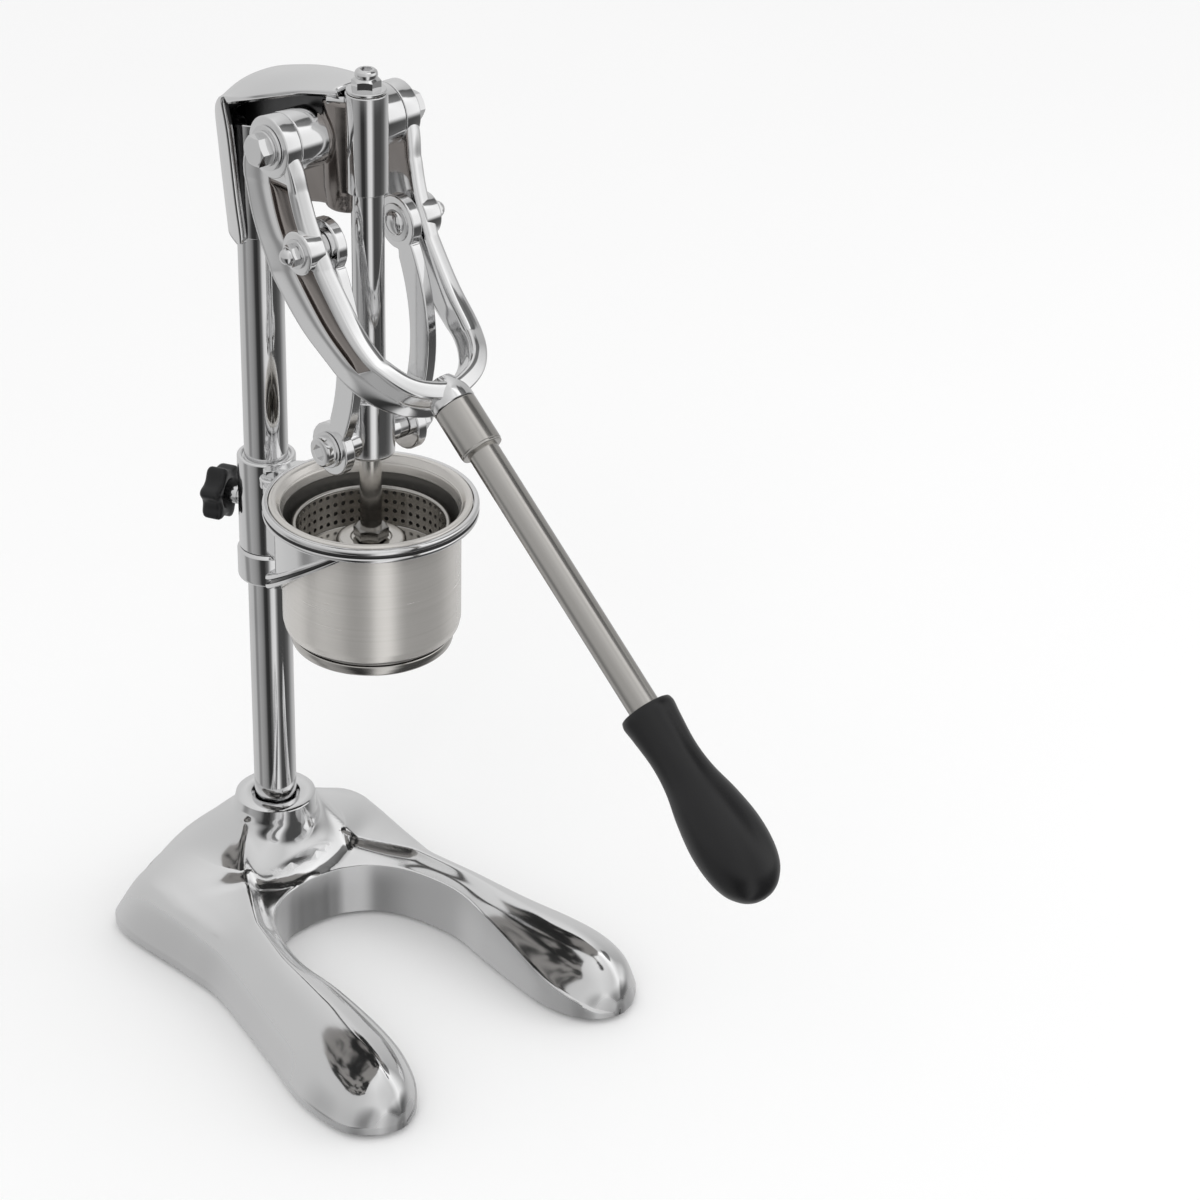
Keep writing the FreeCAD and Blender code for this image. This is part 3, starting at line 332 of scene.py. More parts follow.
class Shape:
    def __init__(self):
        self.points = []
        self.faces = []
        self.creases = {}
        # faces that take the second look, a dark colour painted as shade
        self.paintedShadeFaces = set()

    def add(self, points):
        first = len(self.points)
        self.points += points
        return list(range(first, len(self.points)))

    def join(self, a, b, around=True):
        count = max(len(a), len(b))
        if count == 1:
            return
        for i in range(count if around else count - 1):
            j = (i + 1) % count
            if len(a) == 1:
                self.faces.append((a[0], b[j], b[i]))
            elif len(b) == 1:
                self.faces.append((a[i], a[j], b[0]))
            else:
                self.faces.append((a[i], a[j], b[j], b[i]))

    def crease(self, line, weight):
        for a, b in zip(line, line[1:]):
            self.creases[frozenset((a, b))] = weight

    # turns (radius, along) pairs about an axis; a pair may be a function of the angle
    def lathe(self, profile, start, axis, steps=72, closed=False):
        side = axis.orthogonal().normalized() if abs(axis.x) < 0.9 else Vector((0, 0, 1))
        other = axis.cross(side)
        rings = []
        for item in profile:
            if not callable(item) and item[0] < 1e-6:
                rings.append(self.add([start + axis * item[1] / 1000]))
                continue
            ring = []
            for k in range(steps):
                angle = 2 * math.pi * k / steps
                radius, along = item(angle) if callable(item) else item
                spoke = side * math.cos(angle) + other * math.sin(angle)
                ring.append(start + (axis * along + spoke * radius) / 1000)
            rings.append(self.add(ring))
        for a, b in zip(rings, rings[1:] + (rings[:1] if closed else [])):
            self.join(a, b)
        return self

    def rod(self, radius, start, end, fillet=0.4, bore=0.0, steps=72):
        axis = end - start
        length = axis.length * 1000
        outline = [(bore, 0, 0), (radius, 0, fillet), (radius, length, fillet), (bore, length, 0)]
        return self.lathe(softCorners(outline), start, axis.normalized(), steps, bore > 0)

    # a plate between two x values from an outline of (forward, z) points
    def plate(self, outline, xFrom, xTo):
        near = self.add([at(xFrom, f, z) for f, z in outline])
        far = self.add([at(xTo, f, z) for f, z in outline])
        self.join(near, far)
        self.faces += [tuple(reversed(near)), tuple(far)]
        return self

    # moves the cage until the subdivided surface nearly passes through its points
    def fitCage(self, rounds=2):
        goal = [point.copy() for point in self.points]
        sides = {}
        for face in self.faces:
            for a, b in zip(face, face[1:] + face[:1]):
                sides[frozenset((a, b))] = sides.get(frozenset((a, b)), 0) + 1
        near = [set() for point in goal]
        opposite = [set() for point in goal]
        sharp = [set() for point in goal]
        for edge, uses in sides.items():
            a, b = tuple(edge)
            near[a].add(b)
            near[b].add(a)
            if uses == 1 or self.creases.get(edge, 0) > 0.75:
                sharp[a].add(b)
                sharp[b].add(a)
        for face in self.faces:
            for k, i in enumerate(face):
                if len(face) == 4:
                    opposite[i].add(face[(k + 2) % 4])
        for attempt in range(rounds):
            shown = []
            for i, here in enumerate(self.points):
                count = len(near[i])
                if len(sharp[i]) > 2 or not count:
                    shown.append(here)
                elif len(sharp[i]) == 2:
                    shown.append((here * 4 + sum((self.points[k] for k in sharp[i]), Vector())) / 6)
                else:
                    total = here * count * count + sum((self.points[k] for k in near[i]), Vector()) * 4
                    total += sum((self.points[k] for k in opposite[i]), Vector())
                    weight = count * count + 4 * count + len(opposite[i])
                    shown.append(total / weight)
            self.points = [p + g - s for p, g, s in zip(self.points, goal, shown)]
        return self

    # makes the object with the look of its slot or a given look, rides it on its body, and hides the nodes it
    # stands for
    def piece(self, name, slot, *replaced, body=None, bevel=0.0, smooth=0, wall=0.0, sharp=24, look=None,
              inside=None):
        mesh = bpy.data.meshes.new(name)
        work = bmesh.new()
        corners = [work.verts.new(point) for point in self.points]
        for i, face in enumerate(self.faces):
            work.faces.new([corners[k] for k in face]).material_index = int(i in self.paintedShadeFaces)
        bmesh.ops.recalc_face_normals(work, faces=work.faces)
        layer = work.edges.layers.float.new("crease_edge")
        work.edges.ensure_lookup_table()
        work.verts.index_update()
        for edge in work.edges:
            edge[layer] = self.creases.get(frozenset(v.index for v in edge.verts), 0.0)
            if not smooth and not bevel and len(edge.link_faces) == 2:
                edge.smooth = edge.calc_face_angle() < math.radians(sharp)
        for face in work.faces:
            face.smooth = True
        bmesh.ops.delete(work, geom=[v for v in work.verts if not v.link_faces], context="VERTS")
        work.to_mesh(mesh)
        work.free()
        thing = bpy.data.objects.new(name, mesh)
        bpy.context.scene.collection.objects.link(thing)
        mesh.materials.append(look or looks[slot])
        # the second look paints shade: it goes on the faces in recessed, and on a wall's inside
        if inside:
            mesh.materials.append(inside)
        if bevel:
            rounding = thing.modifiers.new("round", "BEVEL")
            rounding.width = bevel / 1000
            rounding.segments = 4
            rounding.limit_method = "ANGLE"
            rounding.angle_limit = math.radians(40)
            rounding.harden_normals = True
        if smooth:
            soft = thing.modifiers.new("smooth", "SUBSURF")
            soft.levels = soft.render_levels = smooth
        if wall:
            shell = thing.modifiers.new("wall", "SOLIDIFY")
            shell.thickness = wall / 1000
            shell.offset = -1
            shell.use_even_offset = True
            shell.material_offset = 1
        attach(thing, body or bodyOf[replaced[0]])
        if replaced:
            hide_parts(*replaced)
        return thing


def hexRadius(flats):
    def radius(angle):
        return flats / 2 / math.cos((angle + math.pi / 6) % (math.pi / 3) - math.pi / 6)
    return radius


# a hexagon whose upper corners are turned off
def hexProfile(flats, height):
    outer = hexRadius(flats)
    face = 0.47 * flats
    return [(0, 0), lambda a: (outer(a), 0), lambda a: (outer(a), height - (outer(a) - face) * 0.5),
            (face, height), (0, height)]


def domeProfile(radius, low, rise, steps=8):
    return [(radius * math.cos(math.pi / 2 * k / steps), low + rise * math.sin(math.pi / 2 * k / steps))
            for k in range(steps + 1)]


# a domed cap nut
def capNutProfile(flats):
    outer = hexRadius(flats)
    foot, chamfer, dome = 0.42 * flats, 0.46 * flats, 0.45 * flats
    hexagon = [(0, 0), (dome, 0), lambda a: (outer(a), 0.5 * (outer(a) - flats / 2)),
               lambda a: (outer(a), foot - 0.5 * (outer(a) - chamfer)), (chamfer, foot)]
    return hexagon + domeProfile(dome, foot - 0.6, dome - 0.04 * flats + 0.6)


# a headless screw with a hexagon socket
def grubProfile(radius, length):
    socket = hexRadius(radius)
    return [(0, 0), (radius - 0.4, 0), (radius, 0.4), (radius, length - 0.3), (radius - 0.3, length),
            lambda a: (socket(a), length), lambda a: (socket(a), length - radius), (0, length - radius)]


# base casting

# solidToe: how many sections at each toe aren't hollow; halfTurn: points in half a turn of the boss
base = {"foot": 4.0, "height": 38.0, "skirt": 4.0, "reach": 221.0, "legOuter": 111.0, "throatHalf": 55.0,
        "throatBack": 34.5, "lobeHalf": 92.0, "lobeBack": 57.0, "bossTop": 83.0, "bossRadius": 23.3,
        "recess": 14.3, "recessDepth": 7.0, "wall": 5.2, "blend": 9.0, "seam": 50.0, "steps": 10,
        "solidToe": 25, "halfTurn": 72}
feet = {"toe": 21.0, "heelIn": 24.0, "heelForward": 26.0, "pillar": 9.0, "pillarTop": 26.0}
post = {"radius": 12.5, "wall": 2.0, "foot": 16.0, "top": 516.0}
# along the ridge from the boss to a toe: across, forward, how high it stands
ridge = [(12, -8, 0), (26, 4, 2.5), (34.7, 12.3, 4.5), (43, 29, 4.5), (52, 45, 4.5), (60, 59, 4.0),
         (69, 96, 2.2), (74, 139, 0.6), (74, 175, 0)]
# down the boss: height, width and depth as shares of its radius, shift forward
mantleRings = [(base["bossTop"], 1.0, 1.0, 0.0), (base["bossTop"] - 11, 1.13, 1.10, -1.5),
               (base["bossTop"] - 21, 1.45, 1.30, -7.0), (51.0, 2.0, 1.6, -11.0), (43.0, 2.82, 1.79, -14.0),
               (32.0, 3.43, 2.06, -14.0)]
mantleLine = smoothLine(mantleRings, 6)


# how high the boss and its skirt stand over a point
def mantleHeight(x, forward):
    r = base["bossRadius"]
    if math.hypot(x, forward) < r:
        return base["bossTop"]
    spans = [(z, math.hypot(x / (wide * r), (forward - shift) / (deep * r)))
             for z, wide, deep, shift in mantleLine]
    for (zHigh, high), (zLow, low) in zip(spans, spans[1:]):
        if high >= 1 >= low:
            return zLow + (zHigh - zLow) * (1 - low) / max(high - low, 1e-6)
    return 0.0


# the larger of two heights, with a soft change from one to the other
def blended(a, b):
    gap = max(base["blend"] - abs(a - b), 0)
    return max(a, b) + gap * gap / (4 * base["blend"])


# sections from one toe round to the other: inner edge, outer edge, the crest's height and place, the inner
# lip's height and the fullness of the outer side
def legStations():
    toe, half, out, back = base["reach"], base["throatHalf"], base["legOuter"], base["throatBack"]
    lobe, rear = base["lobeHalf"], -base["lobeBack"]
    line = [
        (half + 25.8, toe - 0.3, half + 26.2, toe, 0.10, 0.50, 0.05, 0.50),
        (half + 21, toe - 1.2, out - 25, toe - 0.6, 0.30, 0.50, 0.08, 0.55),
        (half + 11, toe - 7, out - 15, toe - 5, 0.64, 0.48, 0.16, 0.60),
        (half + 3, toe - 18, out - 4, toe - 16, 0.90, 0.46, 0.33, 0.60),
        (half - 2, toe - 37, out, toe - 35, 1.02, 0.44, 0.50, 0.60),
        (half - 2, toe - 60, out - 1, toe - 60, 1.04, 0.40, 0.68, 0.56),
        (half, toe - 92, out - 8, toe - 90, 1.03, 0.34, 0.84, 0.52),
        (half + 2, toe - 122, out - 16, toe - 126, 1.01, 0.30, 0.89, 0.50),
        (half - 5, back + 34, lobe - 4, back + 22, 0.99, 0.30, 0.89, 0.56),
        (half - 17, back + 14, lobe - 3, back - 10, 0.98, 0.36, 0.88, 0.68),
        (half - 32, back + 4, lobe, rear + 20, 1.0, 0.42, 0.87, 0.78),
        (half - 42, back + 1, lobe - 22, rear, 1.0, 0.45, 0.87, 0.78),
        (half - 48.5, back + 0.5, lobe - 57, rear + 2, 1.0, 0.45, 0.88, 0.78),
        (0, back, 0, rear + 3, 1.0, 0.45, 0.88, 0.78),
    ]
    mirrored = [(-i, f, -o, g, *rest) for i, f, o, g, *rest in reversed(line[:-1])]
    return smoothLine(line + mirrored, base["steps"])


# a ridge line from the boss to each toe: gentle outside, steep towards the throat
def ridgeLift(x, forward):
    nearest, lift = 1e9, 0
    for (x0, f0, h0), (x1, f1, h1) in zip(ridge, ridge[1:]):
        run, here = Vector((x1 - x0, f1 - f0)), Vector((abs(x) - x0, forward - f0))
        share = min(max(here.dot(run) / run.length_squared, 0), 1)
        gap = (here - run * share).length
        if gap < nearest:
            nearest, high, gap = gap, h0 + (h1 - h0) * share, math.hypot(gap, 1.5) - 1.5
            inside = run.x * here.y - run.y * here.x > 0
            steep = 1.5 * math.exp(-gap / 3.2) - 0.5 * math.exp(-gap / 9)
            lift = high * (steep if inside else math.exp(-gap / 8))
    return lift


# one section's points, from the inner edge over the crest to the outer edge; depth sinks it for the underside
def legRow(x0, f0, x1, f1, crest, crestAt, lip, full, depth=0.0):
    wide = math.hypot(x1 - x0, f1 - f0)
    edge, top = base["height"] * lip, base["height"] * crest
    rise, fall = top - edge, top - base["skirt"]
    start = min(1.3 / wide, 0.2)
    skin = smoothLine([(start, edge), (crestAt * 0.45, edge + 0.66 * rise), (crestAt, top),
                       (crestAt + 0.36 * (1 - crestAt), base["skirt"] + (0.73 + 0.27 * full) * fall),
                       (crestAt + 0.72 * (1 - crestAt), base["skirt"] + full * fall), (1, base["skirt"])], 11)
    outline = [(0, 0), (0, edge * 0.5), (0, max(edge - 1.3, edge * 0.6)),
               (start * 0.3, edge - 0.4 * min(1, edge))]
    row = []
    inset = min(depth / wide, 0.4)
    for share, z in outline + skin + [(1, 0)]:
        z += base["foot"]
        kept = inset + share * (1 - 2 * inset)
        x, forward = x0 + (x1 - x0) * kept, f0 + (f1 - f0) * kept
        if start <= share < 1:
            z = min(blended(z, mantleHeight(x, forward)), base["seam"])
            z = min(z + ridgeLift(x, forward) * min(share * 8, 1), base["seam"])
        row.append(at(x, forward, max(z - depth, base["foot"])))
    return row


def makeBase():
    skin, under = Shape(), Shape()
    stations = legStations()
    rows = [skin.add(legRow(*station)) for station in stations]
    for a, b in zip(rows, rows[1:]):
        skin.join(a, b, False)
    solid = base["solidToe"]
    hollow = range(solid, len(stations) - solid)
    inner = {k: legRow(*stations[k], depth=base["wall"]) for k in hollow}
    rims = {k: skin.add([inner[k][0], inner[k][-1]]) for k in hollow}
    for k in range(len(rows) - 1):
        a, b = rows[k], rows[k + 1]
        near, far = rims.get(k), rims.get(k + 1)
        if near and far:
            skin.faces += [(a[0], b[0], far[0], near[0]), (b[-1], a[-1], near[1], far[1])]
        else:
            skin.faces.append((a[-1], a[0]) + tuple(near or []) + (b[0], b[-1]) + tuple(reversed(far or [])))
    lines = [under.add(inner[k]) for k in hollow]
    for a, b in zip(lines, lines[1:]):
        under.join(a, b, False)
    under.faces += [tuple(lines[0]), tuple(reversed(lines[-1]))]
    # the boss that holds the column
    rings = [(z, wide * base["bossRadius"] + 0.15, deep * base["bossRadius"] + 0.15, shift)
             for z, wide, deep, shift in smoothLine(mantleRings, 8)]
    rings[0] = (rings[0][0] - 0.8,) + rings[0][1:]
    top, r = base["bossTop"], base["bossRadius"]
    cap = [(top, r - 0.8), (top, base["recess"] + 0.5), (top - 0.5, base["recess"]),
           (top - base["recessDepth"], base["recess"]), (top - base["recessDepth"], post["radius"] + 0.1)]
    rings = [(z, radius, radius, 0.0) for z, radius in reversed(cap)] + rings
    previous = None
    for z, wide, deep, shift in rings:
        ring = []
        for k in range(2 * base["halfTurn"]):
            angle = k * math.pi / base["halfTurn"]
            x, forward = wide * math.sin(angle), deep * math.cos(angle)
            swell = 0.8 * ridgeLift(x, shift + forward) if z < top - 8 else 0
            grow = 1 + swell / math.hypot(x, forward)
            ring.append(at(x * grow, shift + forward * grow, z))
        ring = skin.add(ring)
        if previous:
            skin.join(previous, ring)
        previous = ring
    skin.piece("baseCasting", "polished_casting", "base_casting", sharp=50, look=baseCasting)
    # painted shade: the underside of the base takes the dark rawCastingPaintedShade colour
    under.piece("baseUnderside", "polished_casting", body="stand", sharp=50, look=rawCastingPaintedShade)
    print("base:", len(skin.faces), "faces")


def makeBaseCore():
    core = Shape()
    pads = Shape()
    screws = Shape()
    toe = ((base["throatHalf"] + base["legOuter"]) / 2 - 1, base["reach"] - feet["toe"])
    heel = (base["lobeHalf"] - feet["heelIn"], -base["lobeBack"] + feet["heelForward"])
    pad = softCorners([(5.0, 0, 0), (11.0, 0, 1.0), (12.0, 4.5, 0.5), (12.0, 5.5, 0.5), (2.2, 5.5, 0),
                       (2.2, 2.2, 0), (5.0, 2.2, 0)], 4)
    screw = [(0, 1.1), (1.2, 1.1), (1.6, 0.6), (3.4, 0.6), (4.2, 1.3), (4.2, 2.2), (2.0, 2.2), (2.0, 16),
             (0, 16)]
    for side in (1, -1):
        for x, forward in (toe, heel):
            core.rod(feet["pillar"], at(side * x, forward, base["foot"] + 1.5),
                     at(side * x, forward, feet["pillarTop"]), 0.6)
            pads.lathe(pad, at(side * x, forward, 0), up, closed=True)
            screws.lathe(screw, at(side * x, forward, 0), up, 36)
    outline = [(5.3, 11, 0), (12.0, 11, 0), (12.0, 4, 0), (21.5, 4, 0.8), (21.5, 60, 2), (12.6, 60, 0),
               (12.6, 16, 0), (5.3, 16, 0)]
    core.lathe(softCorners(outline), at(0, 0, 0), up, closed=True)
    core.piece("baseCore", "polished_casting", body="stand")
    pads.piece("rubberFeet", "black_rubber", "rubber_feet")
    screws.piece("footScrews", "bright_steel", "foot_screws")


makeBase()
makeBaseCore()
print("base made")

# column, its plug and bolt, and the stop collar

collar = {"radius": 18.0, "bottom": 231.5, "top": 251.7}


def makeColumn():
    column = Shape()
    column.rod(post["radius"], at(0, 0, post["foot"]), at(0, 0, post["top"]), 0.6,
               post["radius"] - post["wall"], 96)
    column.piece("column", "bright_steel", "column")
    outline = [(5.0, 16, 0), (10.4, 16, 0.6), (10.4, 40, 1.0), (0, 40, 0), (0, 36, 0), (5.0, 36, 0)]
    plug = Shape().lathe(softCorners(outline), at(0, 0, 0), up, 48, True)
    plug.piece("columnPlug", "satin_steel", "column_plug")
    bolt = Shape().lathe(hexProfile(16.0, 5.0), at(0, 0, 9.4), -up)
    bolt.rod(4.9, at(0, 0, 8.4), at(0, 0, 35), 0.6)
    bolt.piece("columnBolt", "bright_steel", "column_bolt")
    washer = Shape().rod(11.5, at(0, 0, 9.4), at(0, 0, 11), 0.3, 5.2)
    washer.piece("columnWasher", "bright_steel", "column_washer")
    outline = [(12.6, collar["top"], 0), (16.6, collar["top"], 0.4),
               (collar["radius"], collar["top"] - 1.6, 0.9), (collar["radius"], collar["bottom"], 3.5),
               (12.6, collar["bottom"], 0)]
    stop = Shape().lathe(softCorners(outline, 6), at(0, 0, 0), up, 96, True)
    stop.piece("stopCollar", "polished_casting", "stop_collar")
    middle = (collar["top"] + collar["bottom"]) / 2
    screw = Shape().lathe(grubProfile(3.0, 5.6), at(0, -post["radius"] - 0.1, middle), way(0, -1, 0), 36)
    screw.piece("collarScrew", "bright_steel", "collar_screw")


makeColumn()
print("column made")

# holder: sleeve, web, ring and slanted hoop

holder = {"radius": 16.7, "bottom": 252.0, "top": 310.0, "bore": 12.59, "ring": 59.5, "ringTop": 319.5,
          "ringHeight": 8.0, "inner": 50.0, "recess": 56.3, "shelf": 316.8, "hoopRear": 254.5, "slope": 0.615,
          "hoop": 12.5, "hoopSteps": 48, "skin": (50.1, 53.0), "web": 22.0, "tongue": (-17.0, 27.0)}


def makeHolder():
    shape = Shape()
    outline = [(holder["bore"], holder["bottom"], 0), (holder["radius"], holder["bottom"], 0.8),
               (holder["radius"], holder["top"], 1.6), (14.4, holder["top"], 0.5),
               (13.8, holder["top"] - 1.8, 0.3), (holder["bore"], holder["top"] - 2.2, 0)]
    shape.lathe(softCorners(outline), at(0, 0, 0), up, 96, True)
    low, top, r = holder["ringTop"] - holder["ringHeight"], holder["ringTop"], holder["ring"]
    middle = (low + top) / 2
    outline = [(holder["inner"], low, 0.5), (r - 0.6, low, 1.6), (r, middle - 1.4, 1.2),
               (r - 1.5, middle - 0.5, 0.3), (r - 1.5, middle + 0.3, 0.3), (r, middle + 1.2, 1.2),
               (r - 0.4, top, 1.4), (holder["recess"], top, 0.5), (holder["recess"], holder["shelf"], 0.2),
               (holder["inner"], holder["shelf"], 0.3)]
    shape.lathe(softCorners(outline + outline[:1], 6)[:-1], at(0, pressForward, 0), up, 128, True)
    # the groove round the ring stays dark: painted shade, its faces take the dark rawCastingPaintedShade colour
    for i, face in enumerate(shape.faces):
        centre = sum((shape.points[k] for k in face), Vector()) / len(face) - at(0, pressForward, middle)
        if abs(centre.z) < 0.0011 and abs(math.hypot(centre.x, centre.y) * 1000 - r + 1.2) < 0.7:
            shape.paintedShadeFaces.add(i)
    shape.piece("barrelHolder", "polished_casting", "barrel_holder", inside=rawCastingPaintedShade)
    # the slanted hoop: a grooved band that follows the barrel and climbs to the ring
    hoop = Shape()
    rear = pressForward - r
    climb = (low + 1 - holder["hoopRear"]) / holder["slope"]
    reach = math.acos(max(1 - climb / r, -1))
    half = holder["hoop"] / 2
    section = softCorners([(holder["inner"] + 0.1, -half + 0.4, 0), (r - 4.2, -half, 2.0),
                           (r - 0.2, -half + 0.6, 2.2), (r, -2.2, 0.8), (r - 3.4, -1.3, 0.5),
                           (r - 3.4, 1.3, 0.5), (r, 2.2, 0.8), (r - 0.2, half - 0.6, 2.2),
                           (r - 4.2, half, 2.0), (holder["inner"] + 0.1, half - 0.4, 0)], 5)
    hoopRows = []
    skinRows = []
    skin = Shape()  # the wall between hoop and ring
    for k in range(holder["hoopSteps"] + 1):
        angle = reach * (2 * k / holder["hoopSteps"] - 1)
        share = abs(angle) / reach
        z = holder["hoopRear"] + (pressForward - r * math.cos(angle) - rear) * holder["slope"]
        row = []
        for radius, lift in section:
            radius -= (radius - holder["inner"]) * 0.55 * share ** 2
            forward = pressForward - radius * math.cos(angle)
            row.append(at(radius * math.sin(angle), forward, z + lift * (1 - 0.55 * share)))
        hoopRows.append(hoop.add(row))
        near, far = holder["skin"]
        row = [at(radius * math.sin(angle), pressForward - radius * math.cos(angle), height)
               for radius, height in ((near, z), (far, z), (far, low + 1), (near, low + 1))]
        skinRows.append(skin.add(row))
    # painted shade: the hoop's groove takes the dark rawCastingPaintedShade colour
    grooved = [j for j, (radius, lift) in enumerate(section) if radius < r - 1 and abs(lift) < 2]
    for a, b in zip(hoopRows, hoopRows[1:]):
        hoop.paintedShadeFaces |= {len(hoop.faces) + j for j in grooved}
        hoop.join(a, b)
    for a, b in zip(skinRows, skinRows[1:]):
        skin.join(a, b)
    hoop.faces += [tuple(reversed(hoopRows[0])), tuple(hoopRows[-1])]
    skin.faces += [tuple(reversed(skinRows[0])), tuple(skinRows[-1])]
    hoop.piece("holderHoop", "polished_casting", body="holder", sharp=30, inside=rawCastingPaintedShade)
    skin.piece("holderSkin", "polished_casting", body="holder", sharp=30)
    outline = [(8, 252.5), (43.5, 252.5), (43.5, 316), (38, 317), (15.3, 308.3), (8, 308.3)]
    web = Shape().plate(outline, -holder["web"] / 2, holder["web"] / 2)
    web.piece("holderWeb", "polished_casting", body="holder", bevel=3.0)
    # a lug beside the sleeve, with its small bolt
    side, forward = holder["tongue"]
    tongue = Shape().rod(6.5, at(side, forward, holder["top"] - 5), at(side, forward, holder["top"] + 1), 1.2)
    tongue.lathe(softCorners([(0, 304.5, 0), (5.5, 304.5, 1), (5.5, 310.5, 1), (0, 310.5, 0)]),
                 at(side - 5, forward + 8, 0), up, 48)
    tongue.piece("holderTongue", "polished_casting", body="holder")
    bolt = Shape().rod(4.8, at(side, forward, holder["top"] + 1), at(side, forward, holder["top"] + 2.2), 0.3)
    bolt.lathe(hexProfile(7.4, 4.0), at(side, forward, holder["top"] + 2.2), up)
    bolt.piece("tongueBolt", "bright_steel", body="holder")


knob = {"height": 279.0, "turn": 62.0, "radius": 17.0, "thickness": 13.0, "start": 23.3, "screw": 4.0,
        "screwStart": 12.8, "screwInKnob": 8.8, "neck": 5.2, "neckStart": 17.6}


def makeKnob():
    angle = math.radians(knob["turn"])
    axis = way(-math.cos(angle), -math.sin(angle), 0)
    start = at(0, 0, knob["height"]) + axis * knob["start"] / 1000

    # a ring that waves in and out with the knob's six lobes
    def lobed(share, along):
        def ring(a):
            wave = 0.875 + 0.125 * math.cos(6 * a) + 0.02 * math.cos(12 * a)
            return (knob["radius"] * (wave * share if share > 0.55 else share * 0.9), along)
        return ring

    deep = knob["thickness"]
    body = [(0, 6.0), (5.6, 6.0), (6.4, 5.2), (8.4, 1.2), (9.6, 0.2), lobed(0.84, 0.2), lobed(0.93, 0.9),
            lobed(0.975, 2.0), lobed(0.98, 3.4), lobed(0.98, deep - 4.6), lobed(0.975, deep - 3.0),
            lobed(0.94, deep - 1.7), lobed(0.86, deep - 0.7), lobed(0.72, deep - 0.1), lobed(0.56, deep),
            (7.2, deep - 0.1), (6.6, deep - 0.9), (0, deep - 1.0)]
    Shape().lathe(body, start, axis, 144).piece("starKnob", "black_plastic", "star_knob", sharp=40)
    centre = at(0, 0, knob["height"])
    screw = Shape()
    inner, outer = centre + axis * knob["screwStart"] / 1000, start + axis * knob["screwInKnob"] / 1000
    screw.rod(knob["screw"], inner, outer, 0.5)
    screw.rod(knob["neck"], centre + axis * knob["neckStart"] / 1000, start, 0.5)
    screw.piece("knobScrew", "bright_steel", "knob_screw")


makeHolder()
makeKnob()
print("holder and knob made")

# barrel and die

barrel = {"bore": 48.0, "outer": 49.5, "bottom": 242.0, "top": 320.5, "flange": 55.8, "seat": 317.1}
die = {"bottom": 233.0, "floor": 2.0, "rim": 45.4, "lowRim": 39.5, "register": 43.8, "floorEdge": 39.0,
       "pitch": 13.0, "outlet": 9.0, "field": 28.0, "steps": 128}


def makeBarrel():
    b = barrel
    edge = b["bottom"] - 0.8
    outline = [(b["bore"] - 3.0, edge + 1.6, 0), (b["bore"] - 3.0, edge, 0.3),
               (b["outer"] - 2.9, edge + 0.5, 1.6), (b["outer"] - 0.9, edge + 2.9, 2.6),
               (b["outer"], edge + 7, 4.0), (b["outer"], b["seat"], 0.8), (b["flange"], b["seat"], 1.5),
               (b["flange"], b["top"], 1.6), (b["flange"] - 3.4, b["top"], 3.0),
               (b["bore"] + 1.2, b["seat"] - 1.2, 4.0), (b["bore"], b["seat"] - 6, 3.0),
               (b["bore"], edge + 7, 4.0)]
    outline = softCorners(outline + outline[:1], 7)[:-1]
    shape = Shape().lathe(outline, at(0, pressForward, 0), up, 160, True)
    # the bore is darker than the outside: painted shade, its faces take the dark innerSteelPaintedShade colour
    for i, face in enumerate(shape.faces):
        middle = sum((shape.points[k] for k in face), Vector()) / len(face) - at(0, pressForward, 0)
        if math.hypot(middle.x, middle.y) * 1000 < b["bore"] + 0.4:
            shape.paintedShadeFaces.add(i)
    shape.piece("barrel", "satin_steel", "barrel", look=barrelSteel, inside=innerSteelPaintedShade)


def makeDie():
    low, high, inside = die["bottom"], die["bottom"] + die["floor"], die["register"] - 1.5
    cup = Shape()
    outline = [(die["lowRim"], low, 0), (die["rim"] - 0.6, low, 3.2), (die["rim"], low + 4.0, 1.2),
               (die["rim"] - 0.2, low + 6.4, 0.8), (die["register"], low + 6.8, 0.3),
               (die["register"], barrel["bottom"] + 1.5, 0.3), (inside, barrel["bottom"] + 1.5, 0.3),
               (inside, high, 3.0), (die["floorEdge"], high, 0)]
    cup.lathe(softCorners(outline, 7), at(0, pressForward, 0), up, die["steps"])
    count = int(die["field"] // die["pitch"])
    squares = [(i * die["pitch"], j * die["pitch"])
               for i in range(-count, count + 1) for j in range(-count, count + 1)
               if math.hypot(i, j) * die["pitch"] <= die["field"]]

    def outlet(x, forward, z):
        half = die["outlet"] / 2
        return [at(x + s * half, pressForward + forward + t * half, z)
                for s, t in ((1, 1), (-1, 1), (-1, -1), (1, -1))]

    # the floor's lower and upper face, filled round the square outlets
    for z, edge in ((low, die["lowRim"]), (high, die["floorEdge"])):
        work = bmesh.new()
        angles = [2 * math.pi * k / die["steps"] for k in range(die["steps"])]
        loops = [[at(edge * math.cos(angle), pressForward + edge * math.sin(angle), z) for angle in angles]]
        loops += [outlet(x, f, z) for x, f in squares]
        for loop in loops:
            corners = [work.verts.new(point) for point in loop]
            for a, c in zip(corners, corners[1:] + corners[:1]):
                work.edges.new((a, c))
        bmesh.ops.triangle_fill(work, edges=work.edges[:], use_beauty=True)
        work.verts.index_update()
        first = cup.add([v.co.copy() for v in work.verts])[0]
        cup.faces += [tuple(first + v.index for v in face.verts) for face in work.faces]
        work.free()
    for x, f in squares:
        cup.join(cup.add(outlet(x, f, low)), cup.add(outlet(x, f, high)))
    cup.piece("diePlate", "satin_steel", "die_plate")


makeBarrel()
makeDie()
print("barrel and die made")

# plunger: rods, crosshead, cup and piston

